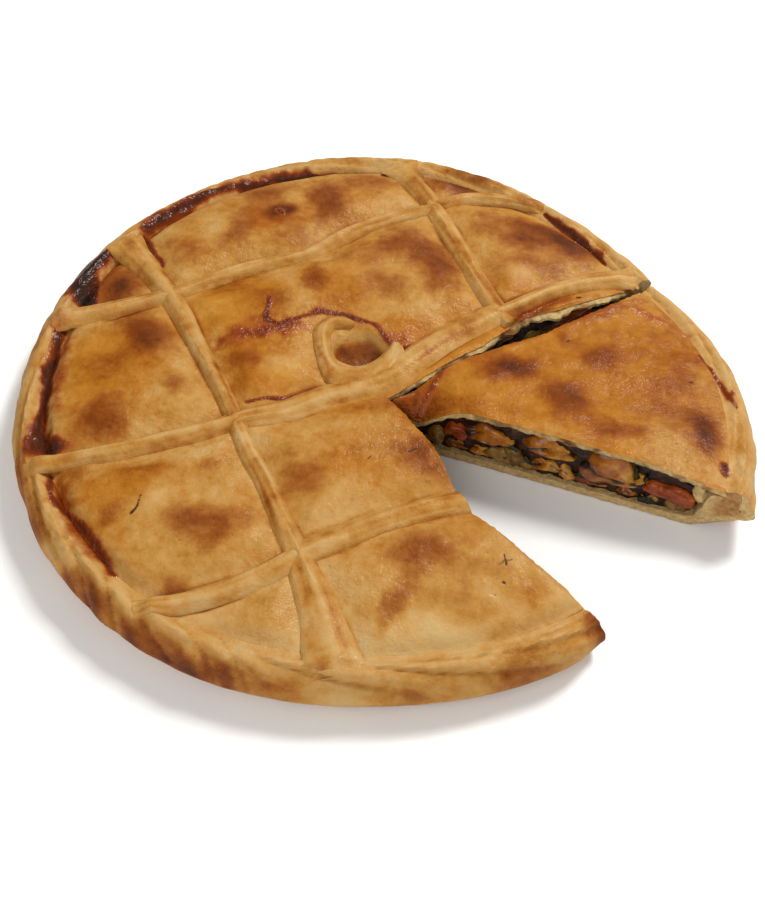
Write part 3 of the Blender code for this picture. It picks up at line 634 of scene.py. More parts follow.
# Where the egg wash lay thick the crust is a deep yellow orange, and floury and pinkish where it was thin.
EGG_SPOTS = (
    (-130, 3, 30, 28, 0, .65), (-48, 114, 24, 12, 0, .4), (-70, 48, 26, 16, 30, .8),
    (-55, 20, 24, 14, 20, .6), (-45, -5, 26, 10, 15, .4), (-115, -80, 20, 18, 60, .6),
    (-90, -70, 26, 14, 0, .3), (62, -120, 14, 12, 0, .2), (-95, 100, 12, 12, 0, .1),
    (95, 15, 75, 40, 10, .75), (60, 0, 40, 30, 0, .3), (20, 30, 14, 12, 0, .4),
    (10, -40, 40, 24, 0, .25), (0, 140, 20, 12, 0, .1), (-20, 60, 30, 20, 0, .3),
    (-156, -5, 8, 40, 0, -.4), (28, 60, 24, 22, 0, -.3), (92, 85, 30, 16, 0, -.3),
    (-42, -135, 44, 24, 15, -.5), (-98, -80, 26, 14, 10, -.5), (50, -128, 40, 14, 15, -.45),
    (110, 0, 60, 50, 0, .3), (-134, 66, 14, 16, 0, -.5), (-75, 112, 14, 12, 0, -.3),
    (41, -131, 14, 10, 0, -.3), (76, -125, 12, 8, 0, .4),
)
SPOTS = {"pie": PIE_SPOTS, "slice": SLICE_SPOTS}


def pulled_about(places, seed):
    """How far coarse and fine noise shifts each place along one axis."""
    return 3.5 * ripple(places, 14, seed) + 1.2 * ripple(places, 5, seed + 1)


def blotches(spots, places, seed):
    """Soft ovals with edges pulled about by noise, added together."""
    x = places[:, 0] + pulled_about(places, seed)
    y = places[:, 1] + pulled_about(places, seed + 2)
    total = np.zeros(len(places))
    for spot_x, spot_y, half_long, half_wide, turn, strength in spots:
        dx, dy = x - spot_x, y - spot_y
        along = (dx * cos(radians(turn)) + dy * sin(radians(turn))) / half_long
        across = (dy * cos(radians(turn)) - dx * sin(radians(turn))) / half_wide
        total += strength * np.exp(-(along ** 2 + across ** 2) ** 1.4)
    return total


print("browned and pale places:", len(PIE_SPOTS), "on the pie,", len(SLICE_SPOTS), "on the slice")

# %% [markdown]
# ## Juice that boiled out
# Mussel liquor and oil bubbled out of the vent and under the strips, ran along the grooves and burnt
# there. A run of juice is a line with a width at each point. It could be a thin mesh of its own, but
# dried juice has no thickness to speak of. So the mesh stores how near the line is, and the shader sets
# the edge, which keeps it crisp between the mesh's points.

# %% Lines of juice
# Each run is (strength, its (x, y, width) points).  Over 0.7 it has burnt, under 0.4 it is an orange glaze.
PIE_JUICE = (
    (.8, ((-157, 38, 4), (-157, 24, 3), (-157.5, 12, 3.4), (-159, 2, 2.6), (-158, -10, 3.2), (-158, -22, 2.6),
          (-158, -32, 5), (-155, -45, 7), (-148, -45, 5))),
    (.32, ((-152, 30, 5), (-152, 5, 6), (-151, -20, 4))),
    (1.0, ((-140, 88, 4), (-146, 78, 6), (-149, 66, 9), (-147, 56, 8), (-143, 49, 4))),
    (.75, ((-120, 110, 5), (-112, 118, 4), (-100, 128, 3.4), (-85, 140, 2.8), (-62, 149, 3), (-40, 155, 2.6),
           (-22, 158, 2), (0, 159, 1.5))),
    (.6, ((-121, 103, 2.5), (-115, 90, 2.2), (-108, 78, 1.5))),
    (.65, ((-50, 50, 1.6), (-50.5, 42, 1.8), (-50, 34, 2.2), (-44, 31, 3))),
    (.46, ((-62, 24, 3), (-53, 27, 5), (-44, 29, 5), (-37, 33, 3.5))),
    (.62, ((-42, 32, 2.5), (-36, 36, 2), (-28, 40, 1.8), (-17, 42.5, 1.8), (-8, 39, 1.6), (-1, 36, 1.6),
           (5, 33, 1.6), (12, 25, 2), (19, 20, 2.6), (26, 23, 1.8), (42, 36, 1), (60, 48, .8))),
    (.4, ((-72, 20, 7), (-62, 25, 10), (-48, 28, 12), (-34, 33, 6))),
    (.22, ((-133, 82, 7), (-138, 68, 10), (-134, 56, 7))),
    (.3, ((14, 28, 5), (22, 26, 5))),
    (.7, ((-24, 16, 1), (-19, 5, 1.6), (-17, 1, 2.4), (-18, -4, 1.2))),
    (.62, ((-148, -62, 2.5), (-145, -75, 2.5), (-132, -88, 3), (-122, -101, 3), (-112, -116, 2))),
    (.38, ((-144, -66, 5), (-138, -82, 6), (-126, -99, 6), (-114, -112, 3))),
    (.8, ((98, 128, 1.2), (108, 118, 2), (120, 104, 2.2), (128, 92, 2))),
    (.6, ((-57, -18, 1.2), (-40, -15, 1.2), (-24, -10, 1))),
    (.75, ((-48, 117, 2.2), (-45.5, 114, 2.2))),
    (.2, ((-62, 112, 7), (-45, 110, 8), (-34, 112, 6))),
    (.5, ((77, 42, 1.4), (90, 51, 2.2), (102, 57, 1.2))),
    (.45, ((-92, 30, 1.2), (-82, 10, 1.2), (-70, -8, 1.6), (-62, -18, 1.2))),
)
SLICE_JUICE = (
    (.42, ((24, -22, 3), (30, -12, 2.5), (40, 5, 1.5))),
    (.36, ((20, -13, 5), (24, -18, 6), (27, -22, 4))),
    (.33, ((40, 6, 5), (50, 13, 5), (70, 24, 5), (95, 36, 4), (120, 48, 4), (142, 60, 2.5))),
    (.42, ((52, 16, 1.5), (80, 31, 1.5), (110, 46, 1.2))),
    (.6, ((170, 22, 1.2), (176, 10, 1.6), (180, -4, 1.4), (184, -14, 1.2))),
    (.5, ((184, -4, 1.2), (181, -8, 1.4))),
    (.7, ((173, -50, 2), (174, -55, 2.2))),
    (.3, ((140, 52, 4), (158, 42, 3), (166, 36, 3))),
)
JUICE = {"pie": PIE_JUICE, "slice": SLICE_JUICE}
THINNEST_RUN = 0.8


def runs_of_juice(lines, places, seed):
    """How strongly juice has run over each place: a run's strength on its line, less with the distance."""
    x = places[:, 0] + 1.2 * ripple(places, 9, seed)
    y = places[:, 1] + 1.2 * ripple(places, 9, seed + 1)
    swelling = 1 + 0.55 * ripple(places, 9, seed + 2) + 0.4 * ripple(places, 4, seed + 3)
    total = np.zeros(len(x))
    for strength, line in lines:
        away, width = nearest_on(smooth_path(line, 5), x, y)
        falling_off = np.exp(-(away / np.maximum(width * swelling, THINNEST_RUN)) ** 2)
        total = np.maximum(total, strength * falling_off)
    return total


print("runs of juice:", len(PIE_JUICE), "on the pie,", len(SLICE_JUICE), "on the slice")

# %% [markdown]
# ## Sweeping a portion
# A round pie is a body of revolution that a knife has cut, so each layer is a profile swept round the
# point where the cuts meet. The sweep starts as a flat grid: one way it counts the points of the profile,
# the other way the rays from cut to cut. Every point is then sent to its own place. Rays crowd near the
# apex, so there they are run together in twos, fours and more, and the doubled points are merged.
# Blender's spin would be simpler, but it turns round one straight axis and cannot follow a cut that
# bends.

# %% Sweep a profile and close its cuts
def close_cut(bm, chain):
    """Bridge the lower and upper halves of a cut's edge, and return the edges that run across it."""
    edges = [bm.edges.get(pair) for pair in zip(chain, chain[1:])]
    half = (len(chain) - 2) // 2
    made = bmesh.ops.bridge_loops(bm, edges=edges[:half] + edges[-half:])["faces"]
    if len(chain) % 2:
        tip = edges[half:-half] + [bm.edges.get((chain[half], chain[-1 - half]))]
        made += bmesh.ops.edgenet_fill(bm, edges=tip)["faces"]
    for face in made:
        face.material_index = SECTION_SLOT
    return [bm.edges.get((chain[i], chain[-1 - i])) for i in range(1, half + 1)]


def swept(profile, rays, rows):
    """A sheet of points (distance, share of the sweep, z) over a profile, with both its cuts closed."""
    last = len(profile) - 1
    bm = bmesh.new()
    bmesh.ops.create_grid(bm, x_segments=rays, y_segments=last, size=0.5)
    cuts = ([], [])
    for vert in bm.verts:
        share, number = vert.co.x + 0.5, round((vert.co.y + 0.5) * last)
        vert.co = (profile[number][0], share, profile[number][1])
        if min(share, 1 - share) < 1e-4:
            cuts[round(share)].append((number, vert))
    across = []
    for cut in cuts:
        cut.sort(key=lambda row: row[0])
        across += close_cut(bm, [vert for _, vert in cut])
    bmesh.ops.subdivide_edges(bm, edges=across, cuts=rows, use_grid_fill=True)
    return mesh_from(bm, "swept")


sample = swept(((0, 0), (9, 0), (9, 1), (0, 1)), 8, 1)
print("a small sheet swept along 8 rays has", len(sample.polygons), "faces")
bpy.data.meshes.remove(sample)

# %% Send the swept points to their places
MOST_DOUBLINGS = 5            # 32 rays at most are run together
SMOOTH_TIP = 10.0             # a cut isn't torn nearer than this to the apex, where its two faces meet


def settled(mesh, portion, grain):
    """Nominal distance and height of every point, and its share of the way from one cut to the other.

    `grain` gives the spacing wanted between rays at each nominal (distance, height)."""
    away, share, up = points(mesh).T
    crowding = grain(away, up) / np.maximum(portion.spread() * away / portion.rays, 1e-6)
    group = 2.0 ** np.clip(np.floor(np.log2(np.maximum(crowding, 1.0))), 0, MOST_DOUBLINGS)
    share = np.where(away < 1e-6, 0.5, np.round(share * portion.rays / group) * group / portion.rays)
    return away, up, share


def cut_away(portion, x, y, share):
    """Distance from each place to the nearer knife cut."""
    from_cut = np.minimum(share, 1 - share) * portion.spread()
    return portion.from_apex(x, y) * np.sin(np.minimum(from_cut, pi / 2))


def inner_faces(mesh, inside):
    """Give faces whose corners all lie inside the pie the crumb's material."""
    corners = np.empty(len(mesh.loops), dtype=np.int64)
    mesh.loops.foreach_get("vertex_index", corners)
    starts = np.empty(len(mesh.polygons), dtype=np.int64)
    mesh.polygons.foreach_get("loop_start", starts)
    slots = np.empty(len(mesh.polygons), dtype=np.int32)
    mesh.polygons.foreach_get("material_index", slots)
    slots[np.logical_and.reduceat(inside[corners], starts)] = SECTION_SLOT
    mesh.polygons.foreach_set("material_index", slots)


def ragged(portion, places, share, depth, seed, ledge=0.0):
    """Tear the faces of the two cuts a little, across the cut, and push them out by a ledge."""
    at_cut = (share < 1e-6) | (share > 1 - 1e-6)
    away = portion.from_apex(places[:, 0], places[:, 1])
    angle = portion.bearing(share, away) + np.where(share < 0.5, -pi / 2, pi / 2)
    torn = depth * (0.6 * ripple(places, 5, seed) + 0.5 * ripple(places, 1.8, seed + 1))
    torn = np.where(at_cut, (torn + ledge) * np.minimum(1, away / SMOOTH_TIP), 0)
    places[:, 0] += np.cos(angle) * torn
    places[:, 1] += np.sin(angle) * torn
    return places


print("rays from cut to cut:", PIE.rays, "in the pie,", SLICE.rays, "in the slice")

# %% [markdown]
# ## Lids
# The lid is a sheet of dough 3.6 mm thick. It puffs between the strips, blisters where steam was caught,
# and is pinched down here and there beside a strip. The slice's lid is the same sheet, cut free. A bump
# map could fake all this, but it would vanish at the outline and in the exported mesh, so relief that the
# eye can see from a step away is in the mesh, and only the egg wash's fine grain is left to the shader.

# %% Marks on the lids
BLISTER = 0.9                 # height of a strong blister
PILLOW = 2.5                  # how far the lid puffs up between the strips
PILLOW_REACH = 8.0
BURNT_IN = 0.4                # how far burnt juice has eaten into the dough
CRACK_DEPTH = 0.25
CRACK_REACH = 1.2
PINCH_DEPTH = 0.5
PIMPLES = ((-113, -7, 2.6, 1.3), (14, -147, 4, 0.5), (-18, -86, 4, .6))    # (x, y, half width, height)
CRACKS = (
    ((-106, -88, .4), (-103.5, -84, .3), (-102.5, -78, 0)), ((22, -50, 0), (25, -48.5, .1), (28, -46, 0)),
    ((63, -112, 0), (66, -110, .1), (69, -109.5, 0)), ((65.5, -107, 0), (66.5, -112.5, .1)),
    ((64.5, -121, .2), (65.5, -121.5, .2)), ((60, -127, .1), (61, -127.5, .1)),
    ((3, -55, 0), (4, -53, 0)), ((111, 59, .6), (112, 59.5, .6)), ((163, 2, .4), (164, 2, .4)),
    ((103, 25, .1), (104, 26, .2)),
)


def nearest_crack(x, y):
    """Distance from places to the nearest crack's side."""
    near = np.full(x.shape, FAR)
    for line in CRACKS:
        away, width = nearest_on(smooth_path(line, 2), x, y)
        near = np.minimum(near, away - width)
    return near


def beside_strips(x, y):
    """Distance from places to the nearest strip's side, negative under the strip."""
    lines = (*STRIP_LINES.values(), smooth_path(CHIMNEY_ROPE, 4))
    sides = [away - width / 2 for away, width in (nearest_on(line, x, y) for line in lines)]
    return np.min(sides, axis=0)


def lid_relief(portion, flat, seed):
    """Puffs, dents and pinches of a lid's top, and its browning, juice and cracks."""
    x, y, _ = flat.T
    browned = blotches(SPOTS[portion.name], flat, seed)
    juice = runs_of_juice(JUICE[portion.name], flat, seed + 5)
    broad = ripple(flat, 30, seed + 8)
    middling = ripple(flat, 12, seed + 9)
    small = ripple(flat, 5, seed + 10)
    beside = beside_strips(x, y) if portion is PIE else np.full(len(x), 10 * FAR)
    free = 1 - np.exp(-(np.maximum(beside, 0) / PILLOW_REACH) ** 2)
    relief = (1.2 * broad + 0.8 * middling) * (0.35 + 0.65 * free) + 0.25 * small
    relief += BLISTER * np.clip(browned, -0.3, 0.7) + (PILLOW * free if portion is PIE else 0)
    relief -= BURNT_IN * stepped_array(juice, 0.3, 0.9)
    crack = nearest_crack(x + 0.5 * small, y + 0.5 * middling)
    relief -= CRACK_DEPTH * np.exp(-(np.maximum(crack, 0) / CRACK_REACH) ** 2)
    for pimple_x, pimple_y, half, height in PIMPLES:
        relief += height * np.exp(-((x - pimple_x) ** 2 + (y - pimple_y) ** 2) / half ** 2)
    pinch = np.clip(0.1 + 1.4 * ripple(flat, 26, seed + 11), 0, 1) * np.exp(-((beside - 0.4) / 1.1) ** 2)
    # the pinched crease beside a strip is also drawn browner
    return relief - PINCH_DEPTH * pinch, browned + 0.6 * pinch, juice, crack


print("cracks:", len(CRACKS), "pimples:", len(PIMPLES))

# %% [markdown]
# ### The lid's edges
# At a knife cut the lid ends in a ragged lip, its lower layer torn longer than its skin. At the rim it
# dives into the groove beside the roll, or runs straight into it where the two have baked together.
# Cutting the lid with a straight plane would be easier and would look sawn, so both edges are rules of
# their own.

# %% The lid's edges
LID_EDGE = PIE_RADIUS - RIM_BAND
LID_RING = 1.05               # distance between rings of points
EDGE_DIP = 2.2                # how far the lid's edge dives into the groove inside the rim
EDGE_REACH = 3.5
LIP_REACH = 1.6               # the lip at a cut droops and thins over this distance
LIP_DROOP = 0.7
TEAR = 0.9
BACK_LEDGE = ((30, 1.2), (60, 2.0), (90, 3.6), (110, 3.2), (135, 2.2), (160, 0.8))    # (distance, overhang)


def lid_profile():
    """A sheet: out along the underside (z 0) and back along the top (z 1)."""
    edge = LID_EDGE + 0.4
    rings = np.linspace(0, edge, round(edge / LID_RING) + 1)
    return ([(ring, 0.0) for ring in rings] + [(edge + 0.5, 0.35), (edge + 0.5, 0.7)]
            + [(ring, 1.0) for ring in rings[::-1]])


def softly_joined(portion, x, y):
    """How gently the lid runs into the rim: 1 at the pie's near side and all along the slice."""
    _, angle = portion.from_centre(x, y)
    near = np.exp(-((angle + 1.6) / 0.95) ** 4)
    far_right = np.exp(-((angle - 0.95) / 0.5) ** 4)
    return np.maximum(near, 0.7 * far_right) if portion is PIE else np.ones(len(x))


def torn_edge(portion, places, share, up):
    """How far the lid's lower layer sticks out at a cut: a ledge at the pie's back cut, shreds elsewhere."""
    away = portion.from_apex(places[:, 0], places[:, 1])
    ledge = between(BACK_LEDGE, away) if portion is PIE else 0.5
    reach = np.where(share < 0.5, ledge, 0.4)
    shreds = np.clip(0.8 + 0.9 * ripple(places, 13, 71) + 0.5 * ripple(places, 4, 72), 0, 1.35)
    return np.where(up < 0.75, reach * shreds, 0)


print("points in the lid's profile:", len(lid_profile()))

# %% Build both lids
SHOWN_GRAIN = 1.02            # spacing of points where the lid shows
HIDDEN_GRAIN = 6.0            # and where it doesn't
UNDERSIDE = 0.1


def lid_fields(places, hollow, up, seed):
    """How golden, egged, wet and stained a lid is, before its spots and its juice."""
    golden = 0.36 + 0.10 * ripple(places, 34, seed + 30) + 0.07 * ripple(places, 13, seed + 31)
    # Painted shade: the vent's deep floor is drawn browner, and its edge a little paler.
    golden += 0.5 * stepped_array(hollow, 0.2, 0.75) - 0.08 * stepped_array(hollow, 0.03, 0.3)
    egg = 0.25 + blotches(EGG_SPOTS, from_above(places), seed + 33) + 0.35 * ripple(places, 26, seed + 34)
    egg -= 2.0 * stepped_array(hollow, 0.03, 0.25)
    wet = 0.4 + 0.6 * ripple(places, 40, seed + 32)
    stain = np.where(up < UNDERSIDE, 0.5, 0.4 + 0.7 * ripple(places, 9, 73))
    return golden, egg, wet, stain


def build_lid(portion, seed):
    """The dressed lid of a portion."""
    mesh = swept(lid_profile(), portion.rays, 3)
    away, up, share = settled(mesh, portion, lambda d, z: np.where(z > 0.5, SHOWN_GRAIN, HIDDEN_GRAIN))
    x, y = portion.place(share, away)
    places = np.column_stack((x, y, np.zeros(len(x))))
    relief, browned, juice, crack = lid_relief(portion, places, seed)
    lip = np.exp(-(cut_away(portion, x, y, share) / LIP_REACH) ** 2)
    edge = np.exp(-((away - LID_EDGE) / EDGE_REACH) ** 2)
    dip = EDGE_DIP * (1 - softly_joined(portion, x, y))
    top = TOP[portion.name](x, y) + relief * (1 - edge) * (1 - 0.6 * lip) - LIP_DROOP * lip - dip * edge
    shreds = 0.7 + 1.5 * ripple(np.column_stack((x, y, up)), 3.5, seed + 12)
    places[:, 2] = top - (1 - up) * (LID_SHEET - shreds * lip)
    places = ragged(portion, places, share, TEAR, seed + 20, torn_edge(portion, places, share, up))
    move_to(mesh, places)
    hollow = vent_dip(x, y) if portion is PIE else np.zeros(len(x))
    golden, egg, wet, stain = lid_fields(places, hollow, up, seed)
    rimward = stepped_array(away, LID_EDGE - 14, LID_EDGE)
    # The vent's deep floor also takes the cracks' dark brown, as painted shade.
    fields(mesh, browning=golden + 0.8 * browned - 0.1 * rimward, juice=juice, egg=egg, stain=stain,
           crack=crack - 4.5 * stepped_array(hollow, 0.35, 0.9), wet=wet + stepped_array(juice, 0.2, 0.6),
           skin=np.where(up > 0.9, 0.8, 0.0))
    inner_faces(mesh, up < UNDERSIDE)
    tidy(mesh)
    return finish(mesh, f"{portion.name}_lid_crust", (CRUST, CRUMB), "baked_crust", f"{portion.name}_lid")


pie_lid = build_lid(PIE, 1)
build_lid(SLICE, 51)

# %% [markdown]
# ## Base and rolled rim
# The bottom sheet runs out under the filling, turns up and is rolled inwards over the lid's edge. The
# roll was pinched as it went round, which leaves slanting folds, and it is twisted like a rope at the
# near left. A torus would be a quick rim, but it would lie on the sheet as a separate ring. So one
# profile follows the whole dough, in small steps where it shows, and in large ones under the filling.

# %% Base profile
RIM_STEP = 1.3
BASE_RINGS = 66
CREST_INSET = 8.5             # the crest of the roll, measured in from the outline
SHELF_INSET = 22.0            # the shelf that the lid's edge lies on
SHELF_Z = 18.4
OUTSIDE = ((RIM_MASS, 0), (30, 0), (14, 0), (6, 2), (1.5, 7), (0, 12.5), (1.2, 19), (4.5, 24.5),
           (CREST_INSET, RIM_CREST_Z), (12.2, RIM_CREST_Z - 1.4), (RIM_BAND - 0.4, LID_EDGE_Z - 1.8),
           (RIM_BAND + 0.6, 20), (SHELF_INSET, SHELF_Z))
INSIDE = ((SHELF_INSET, SHELF_Z), (26, 12), (29.5, 6.5), (RIM_MASS, BASE_SHEET))


def rounded(corners):
    """Points along a smooth curve through (distance in from the outline, z) corners."""
    curve = smooth_path([(PIE_RADIUS - inset, z, 0) for inset, z in corners], RIM_STEP)
    return [(distance, z) for distance, z, _ in curve]


def base_profile():
    """Out along the underside, over the rim and back along the top of the bottom sheet."""
    rings = np.linspace(0, PIE_RADIUS - RIM_MASS, BASE_RINGS)
    return ([(ring, 0.0) for ring in rings[:-1]] + rounded(OUTSIDE)[:-1] + rounded(INSIDE)[:-1]
            + [(ring, BASE_SHEET) for ring in rings[::-1]])


print("points in the base's profile:", len(base_profile()))

# %% The roll's height and folds
FOLDS = 19                    # long folds round the whole rim
FOLD_SLANT = 0.16             # how far a fold leans, in turns of a fold per millimetre
STRANDS = 48                  # lumps round the rim where it is twisted like a rope
STRAND_SLANT = 0.08           # how far a lump leans, in lumps per millimetre
GROOVE_INSET = 16.4           # the groove between the roll and the lid
UPPER_Z = 15.0                # what lies over this is the roll, and not the bottom sheet
INWARD_DROP = {"pie": 2.8, "slice": 1.7}    # how far the roll falls inwards where it runs into the lid
SHELF_RISE = 6.0              # inside the slice's rim the rolled dough reaches up to the lid
SLICE_RIM_LIFT = 13.0         # the slice's rim curls up off the table at its front corner
CURL_REACH = 22.0


def crest(portion, x, y):
    """Height of the rim's crest."""
    if portion is PIE:
        return np.full(len(x), RIM_CREST_Z)
    return SLICE_CREST_FRONT_Z - slice_lean(x, y) * (SLICE_CREST_FRONT_Z - SLICE_CREST_BACK_Z)


def twist_at(angle):
    """How plainly the rim is twisted there: strongly at the near left, faintly elsewhere."""
    return np.maximum(0.75 * np.exp(-(((angle + 2.15) / 0.36) ** 4)), 0.12 + 0.1 * np.sin(5 * angle))


def folds(portion, x, y, inset):
    """Pinches of the roll, -1 in a crease to 1 on a fold's back; how twisted it is; place in a lump."""
    _, angle = portion.from_centre(x, y)
    turn = FOLDS * angle + 2 * pi * FOLD_SLANT * inset
    twisted = twist_at(angle)
    long_folds = 0.75 * np.sin(turn) + 0.3 * np.sin(2 * turn + 0.8)
    long_folds += 0.2 * np.sin(3 * turn + 2.1 * np.sin(3 * angle))
    wander = 0.9 * np.sin(7 * angle) + 1.1 * np.sin(17 * angle + 1)
    strand = (STRANDS * angle + 2 * pi * STRAND_SLANT * inset + wander) / (2 * pi)
    lump = 0.5 - 1.3 * (1 - np.abs(np.sin(pi * strand))) ** 1.3
    return (1 - 0.8 * twisted) * long_folds + twisted * lump * 1.5, twisted, strand % 1


def base_height(portion, x, y, inset, z):
    """The rim grows with the portion's crest, and the slice's rim curls up at its front corner."""
    rim_top = crest(portion, x, y)
    stretch = (rim_top - RIM_BELLY_Z) / (RIM_CREST_Z - RIM_BELLY_Z)
    z = np.where(z > RIM_BELLY_Z, RIM_BELLY_Z + (z - RIM_BELLY_Z) * stretch, z)
    slope = rim_top - INWARD_DROP[portion.name] * stepped_array(inset, CREST_INSET, 16)
    inner_wall = (inset > CREST_INSET) & (inset < GROOVE_INSET) & (z > UPPER_Z)
    z = z + softly_joined(portion, x, y) * np.where(inner_wall, np.maximum(slope - z, 0), 0)
    if portion is SLICE:
        z = z + SHELF_RISE * np.exp(-((inset - 20) / 5) ** 4) * (z > UPPER_Z) * (inset > GROOVE_INSET)
        curl = np.clip(1.3 - inset / CURL_REACH, 0, 1) * np.maximum(0, 1 - z / CURL_REACH)
        z = z + SLICE_RIM_LIFT * (1 - slice_lean(x, y)) ** 2 * curl
    return z


twist = twist_at(np.radians([-123.0, 90.0]))
print("twist of the roll at the near left and at the back:", twist.round(2))

# %% Build both bases
RIM_SPOTS = (
    (-131, -119, 14, 7, -40, .4), (-117, -133, 12, 6, -38, .35), (-100, -146, 14, 7, -30, .55),
    (-80, -158, 13, 6, -25, .6), (-58, -167, 14, 6, -20, .4), (-30, -174, 16, 6, -10, .25),
    (112, -135, 10, 8, 0, .6), (70, -160, 20, 8, 25, .25), (30, -172, 16, 6, 10, .2),
    (-165, -60, 8, 18, 20, .35), (-155, -85, 8, 12, 30, .45), (-60, 163, 30, 6, 20, .5),
    (-100, 142, 24, 6, 40, .4), (-170, 30, 6, 40, 10, .2), (-168, -30, 6, 20, 0, .1),
    (178, 5, 8, 20, 0, .1), (-20, 172, 30, 6, 5, .3), (60, 160, 26, 8, -25, .45),
)
ROLL_WIDTH = 17.0
ROLL_GRAIN = 1.2              # spacing of points on the roll
CORNER_REACH = 12.0           # the pie's near corner is pressed thin over this distance from the cut


def shape_base(portion, places, inset, up, share, seed):
    """Folds and lumps of the roll and a slightly uneven underside.  Returns what the colours need."""
    x, y = places[:, 0].copy(), places[:, 1].copy()
    rim = stepped_array(up, 3, 12) * stepped_array(-inset, -RIM_BAND + 0.5, -RIM_BAND + 5)
    fold, twisted, strand = folds(portion, x, y, inset)
    places[:, 2] += rim * (0.95 * fold + 0.5 * ripple(places, 16, seed))
    outwards = np.column_stack((x - portion.centre[0], y - portion.centre[1])) / PIE_RADIUS
    push = rim * stepped_array(-inset, -12, -3) * (0.8 * fold + 0.6 * ripple(places, 10, seed + 1))
    places[:, :2] += outwards * push[:, None]
    bottom = (up < 0.5) & (inset > 12)
    places[:, 2] += np.where(bottom, 0.25 + 0.25 * ripple(places, 9, seed + 2), 0)
    if portion is PIE:
        near_cut = np.exp(-(cut_away(portion, x, y, share) / CORNER_REACH) ** 2)
        thinned = np.where(share > 0.5, near_cut, 0) * stepped_array(-inset, -22, -6)
        places[:, 2] -= 0.3 * thinned * np.maximum(places[:, 2] - 8, 0)
        places[:, :2] -= outwards * (2.5 * thinned)[:, None]
    return rim, fold, twisted, strand


def base_fields(mesh, portion, places, inset, up, shape, seed):
    """Colour of the base: pale and floury on the roll, toasted low down, with painted shade in its creases.
    """
    rim, fold, twisted, strand = shape
    noisy = 0.10 * ripple(places, 24, seed + 3) + 0.08 * ripple(places, 8, seed + 4)
    browned = blotches(RIM_SPOTS if portion is PIE else (), from_above(places), seed + 6)
    juice = runs_of_juice(JUICE[portion.name], from_above(places), seed + 5) * stepped_array(up, 14, 22)
    outer = stepped_array(-inset, -9, -3)
    # Painted shade: on the twist, one side of each lump and the crease after it are drawn browner.
    lump_and_crease_shade = outer * np.exp(-((strand - 0.4) / 0.22) ** 2) + 0.5 * np.exp(-((strand - 0.97) / 0.1) ** 2)
    # Painted shade: the creases between the long folds are drawn browner than the folds' backs.
    pale = 0.24 + noisy - 0.10 * rim * fold + browned * rim
    pale += twisted * rim * (0.4 * lump_and_crease_shade - 0.08 * (1 - outer))
    low = stepped_array(-up, -7, -1)
    rolled = 1.5 - np.hypot((inset - 13) / 9, (up - 13) / 7.5) + 0.35 * ripple(places, 5, seed + 9)
    fields(mesh, browning=pale + (0.52 + noisy - pale) * low, juice=juice,
           egg=0.15 + 0.5 * low + 0.4 * ripple(places, 20, seed + 8),
           wet=0.3 + 0.5 * ripple(places, 30, seed + 7), skin=np.where((up < 0.3) | (inset < 0.4), 1.0, 0.0),
           stain=np.where(up > 4.6, 0.35, 0.0) * (inset > 24), swirl=np.maximum(rolled, 0))


def base_grain(away, up):
    """Spacing of the base's points: close on the roll and wide under the filling."""
    return np.where(away > PIE_RADIUS - ROLL_WIDTH, ROLL_GRAIN, HIDDEN_GRAIN)


def build_base(portion, seed):
    """The dressed base and rim of a portion."""
    mesh = swept(base_profile(), portion.rays, 8)
    away, up, share = settled(mesh, portion, base_grain)
    x, y = portion.place(share, away)
    inset = PIE_RADIUS - away
    places = np.column_stack((x, y, base_height(portion, x, y, inset, up)))
    shape = shape_base(portion, places, inset, up, share, seed)
    places = ragged(portion, places, share, 0.7, seed + 20)
    move_to(mesh, places)
    base_fields(mesh, portion, places, inset, up, shape, seed)
    inner_faces(mesh, (inset > 21.9) & (up > 4.6))
    tidy(mesh)
    name = f"{portion.name}_base"
    return finish(mesh, f"{name}_and_rim", (CRUST, CRUMB), "bread_crumb", name)


pie_base = build_base(PIE, 101)
build_base(SLICE, 151)

# %% [markdown]
# ## Dough strips and the vent's rope
# A strip is a soft flat rope: rounded above, pressed flat below, with a lengthwise ridge where it was
# rolled between the hands. A bevelled curve would give the rope in one step, but with the same section
# everywhere. Here a grid is rolled up into a tube, its seam merged and its ends drawn together, and the
# tube is laid along the strip's path on the lid. At the rim it spans the groove, thins out and is pressed
# onto the roll.

# %% The dough under a strip
GROOVE_BAND = RIM_BAND + 6    # nearer to the outline than this, a strip lies on the dressed dough
GROOVE_FADE = 6.0
ABOVE_ALL = 60.0              # rays are cast down from this height
SPAN_RINGS = 3                # a strip spans dips that are shorter than twice this many rings
ONTO_RIM = 1.5                # a strip that reaches the rim runs on this far over its crest

depsgraph = bpy.context.evaluated_depsgraph_get()
dough_surface = [BVHTree.FromObject(piece, depsgraph) for piece in (pie_lid, pie_base)]


def ground(x, y):
    """Top of the dough under a strip: the lid's plain form, and the dressed rim near the outline."""
    away, angle = PIE.from_centre(x, y)
    inset = outline_radius(angle) - away
    z = pie_top(x, y) + CHIMNEY_DEPTH * vent_dip(x, y)
    for i in np.nonzero(inset < GROOVE_BAND)[0]:
        start = Vector((x[i], y[i], ABOVE_ALL)) * METRE
        hits = [tree.ray_cast(start, Vector((0, 0, -1)))[0] for tree in dough_surface]
        tops = [hit.z / METRE for hit in hits if hit]
        share = min(1.0, (GROOVE_BAND - inset[i]) / GROOVE_FADE)
        if tops:
            z[i] += share * (max(tops) - z[i])
    return z


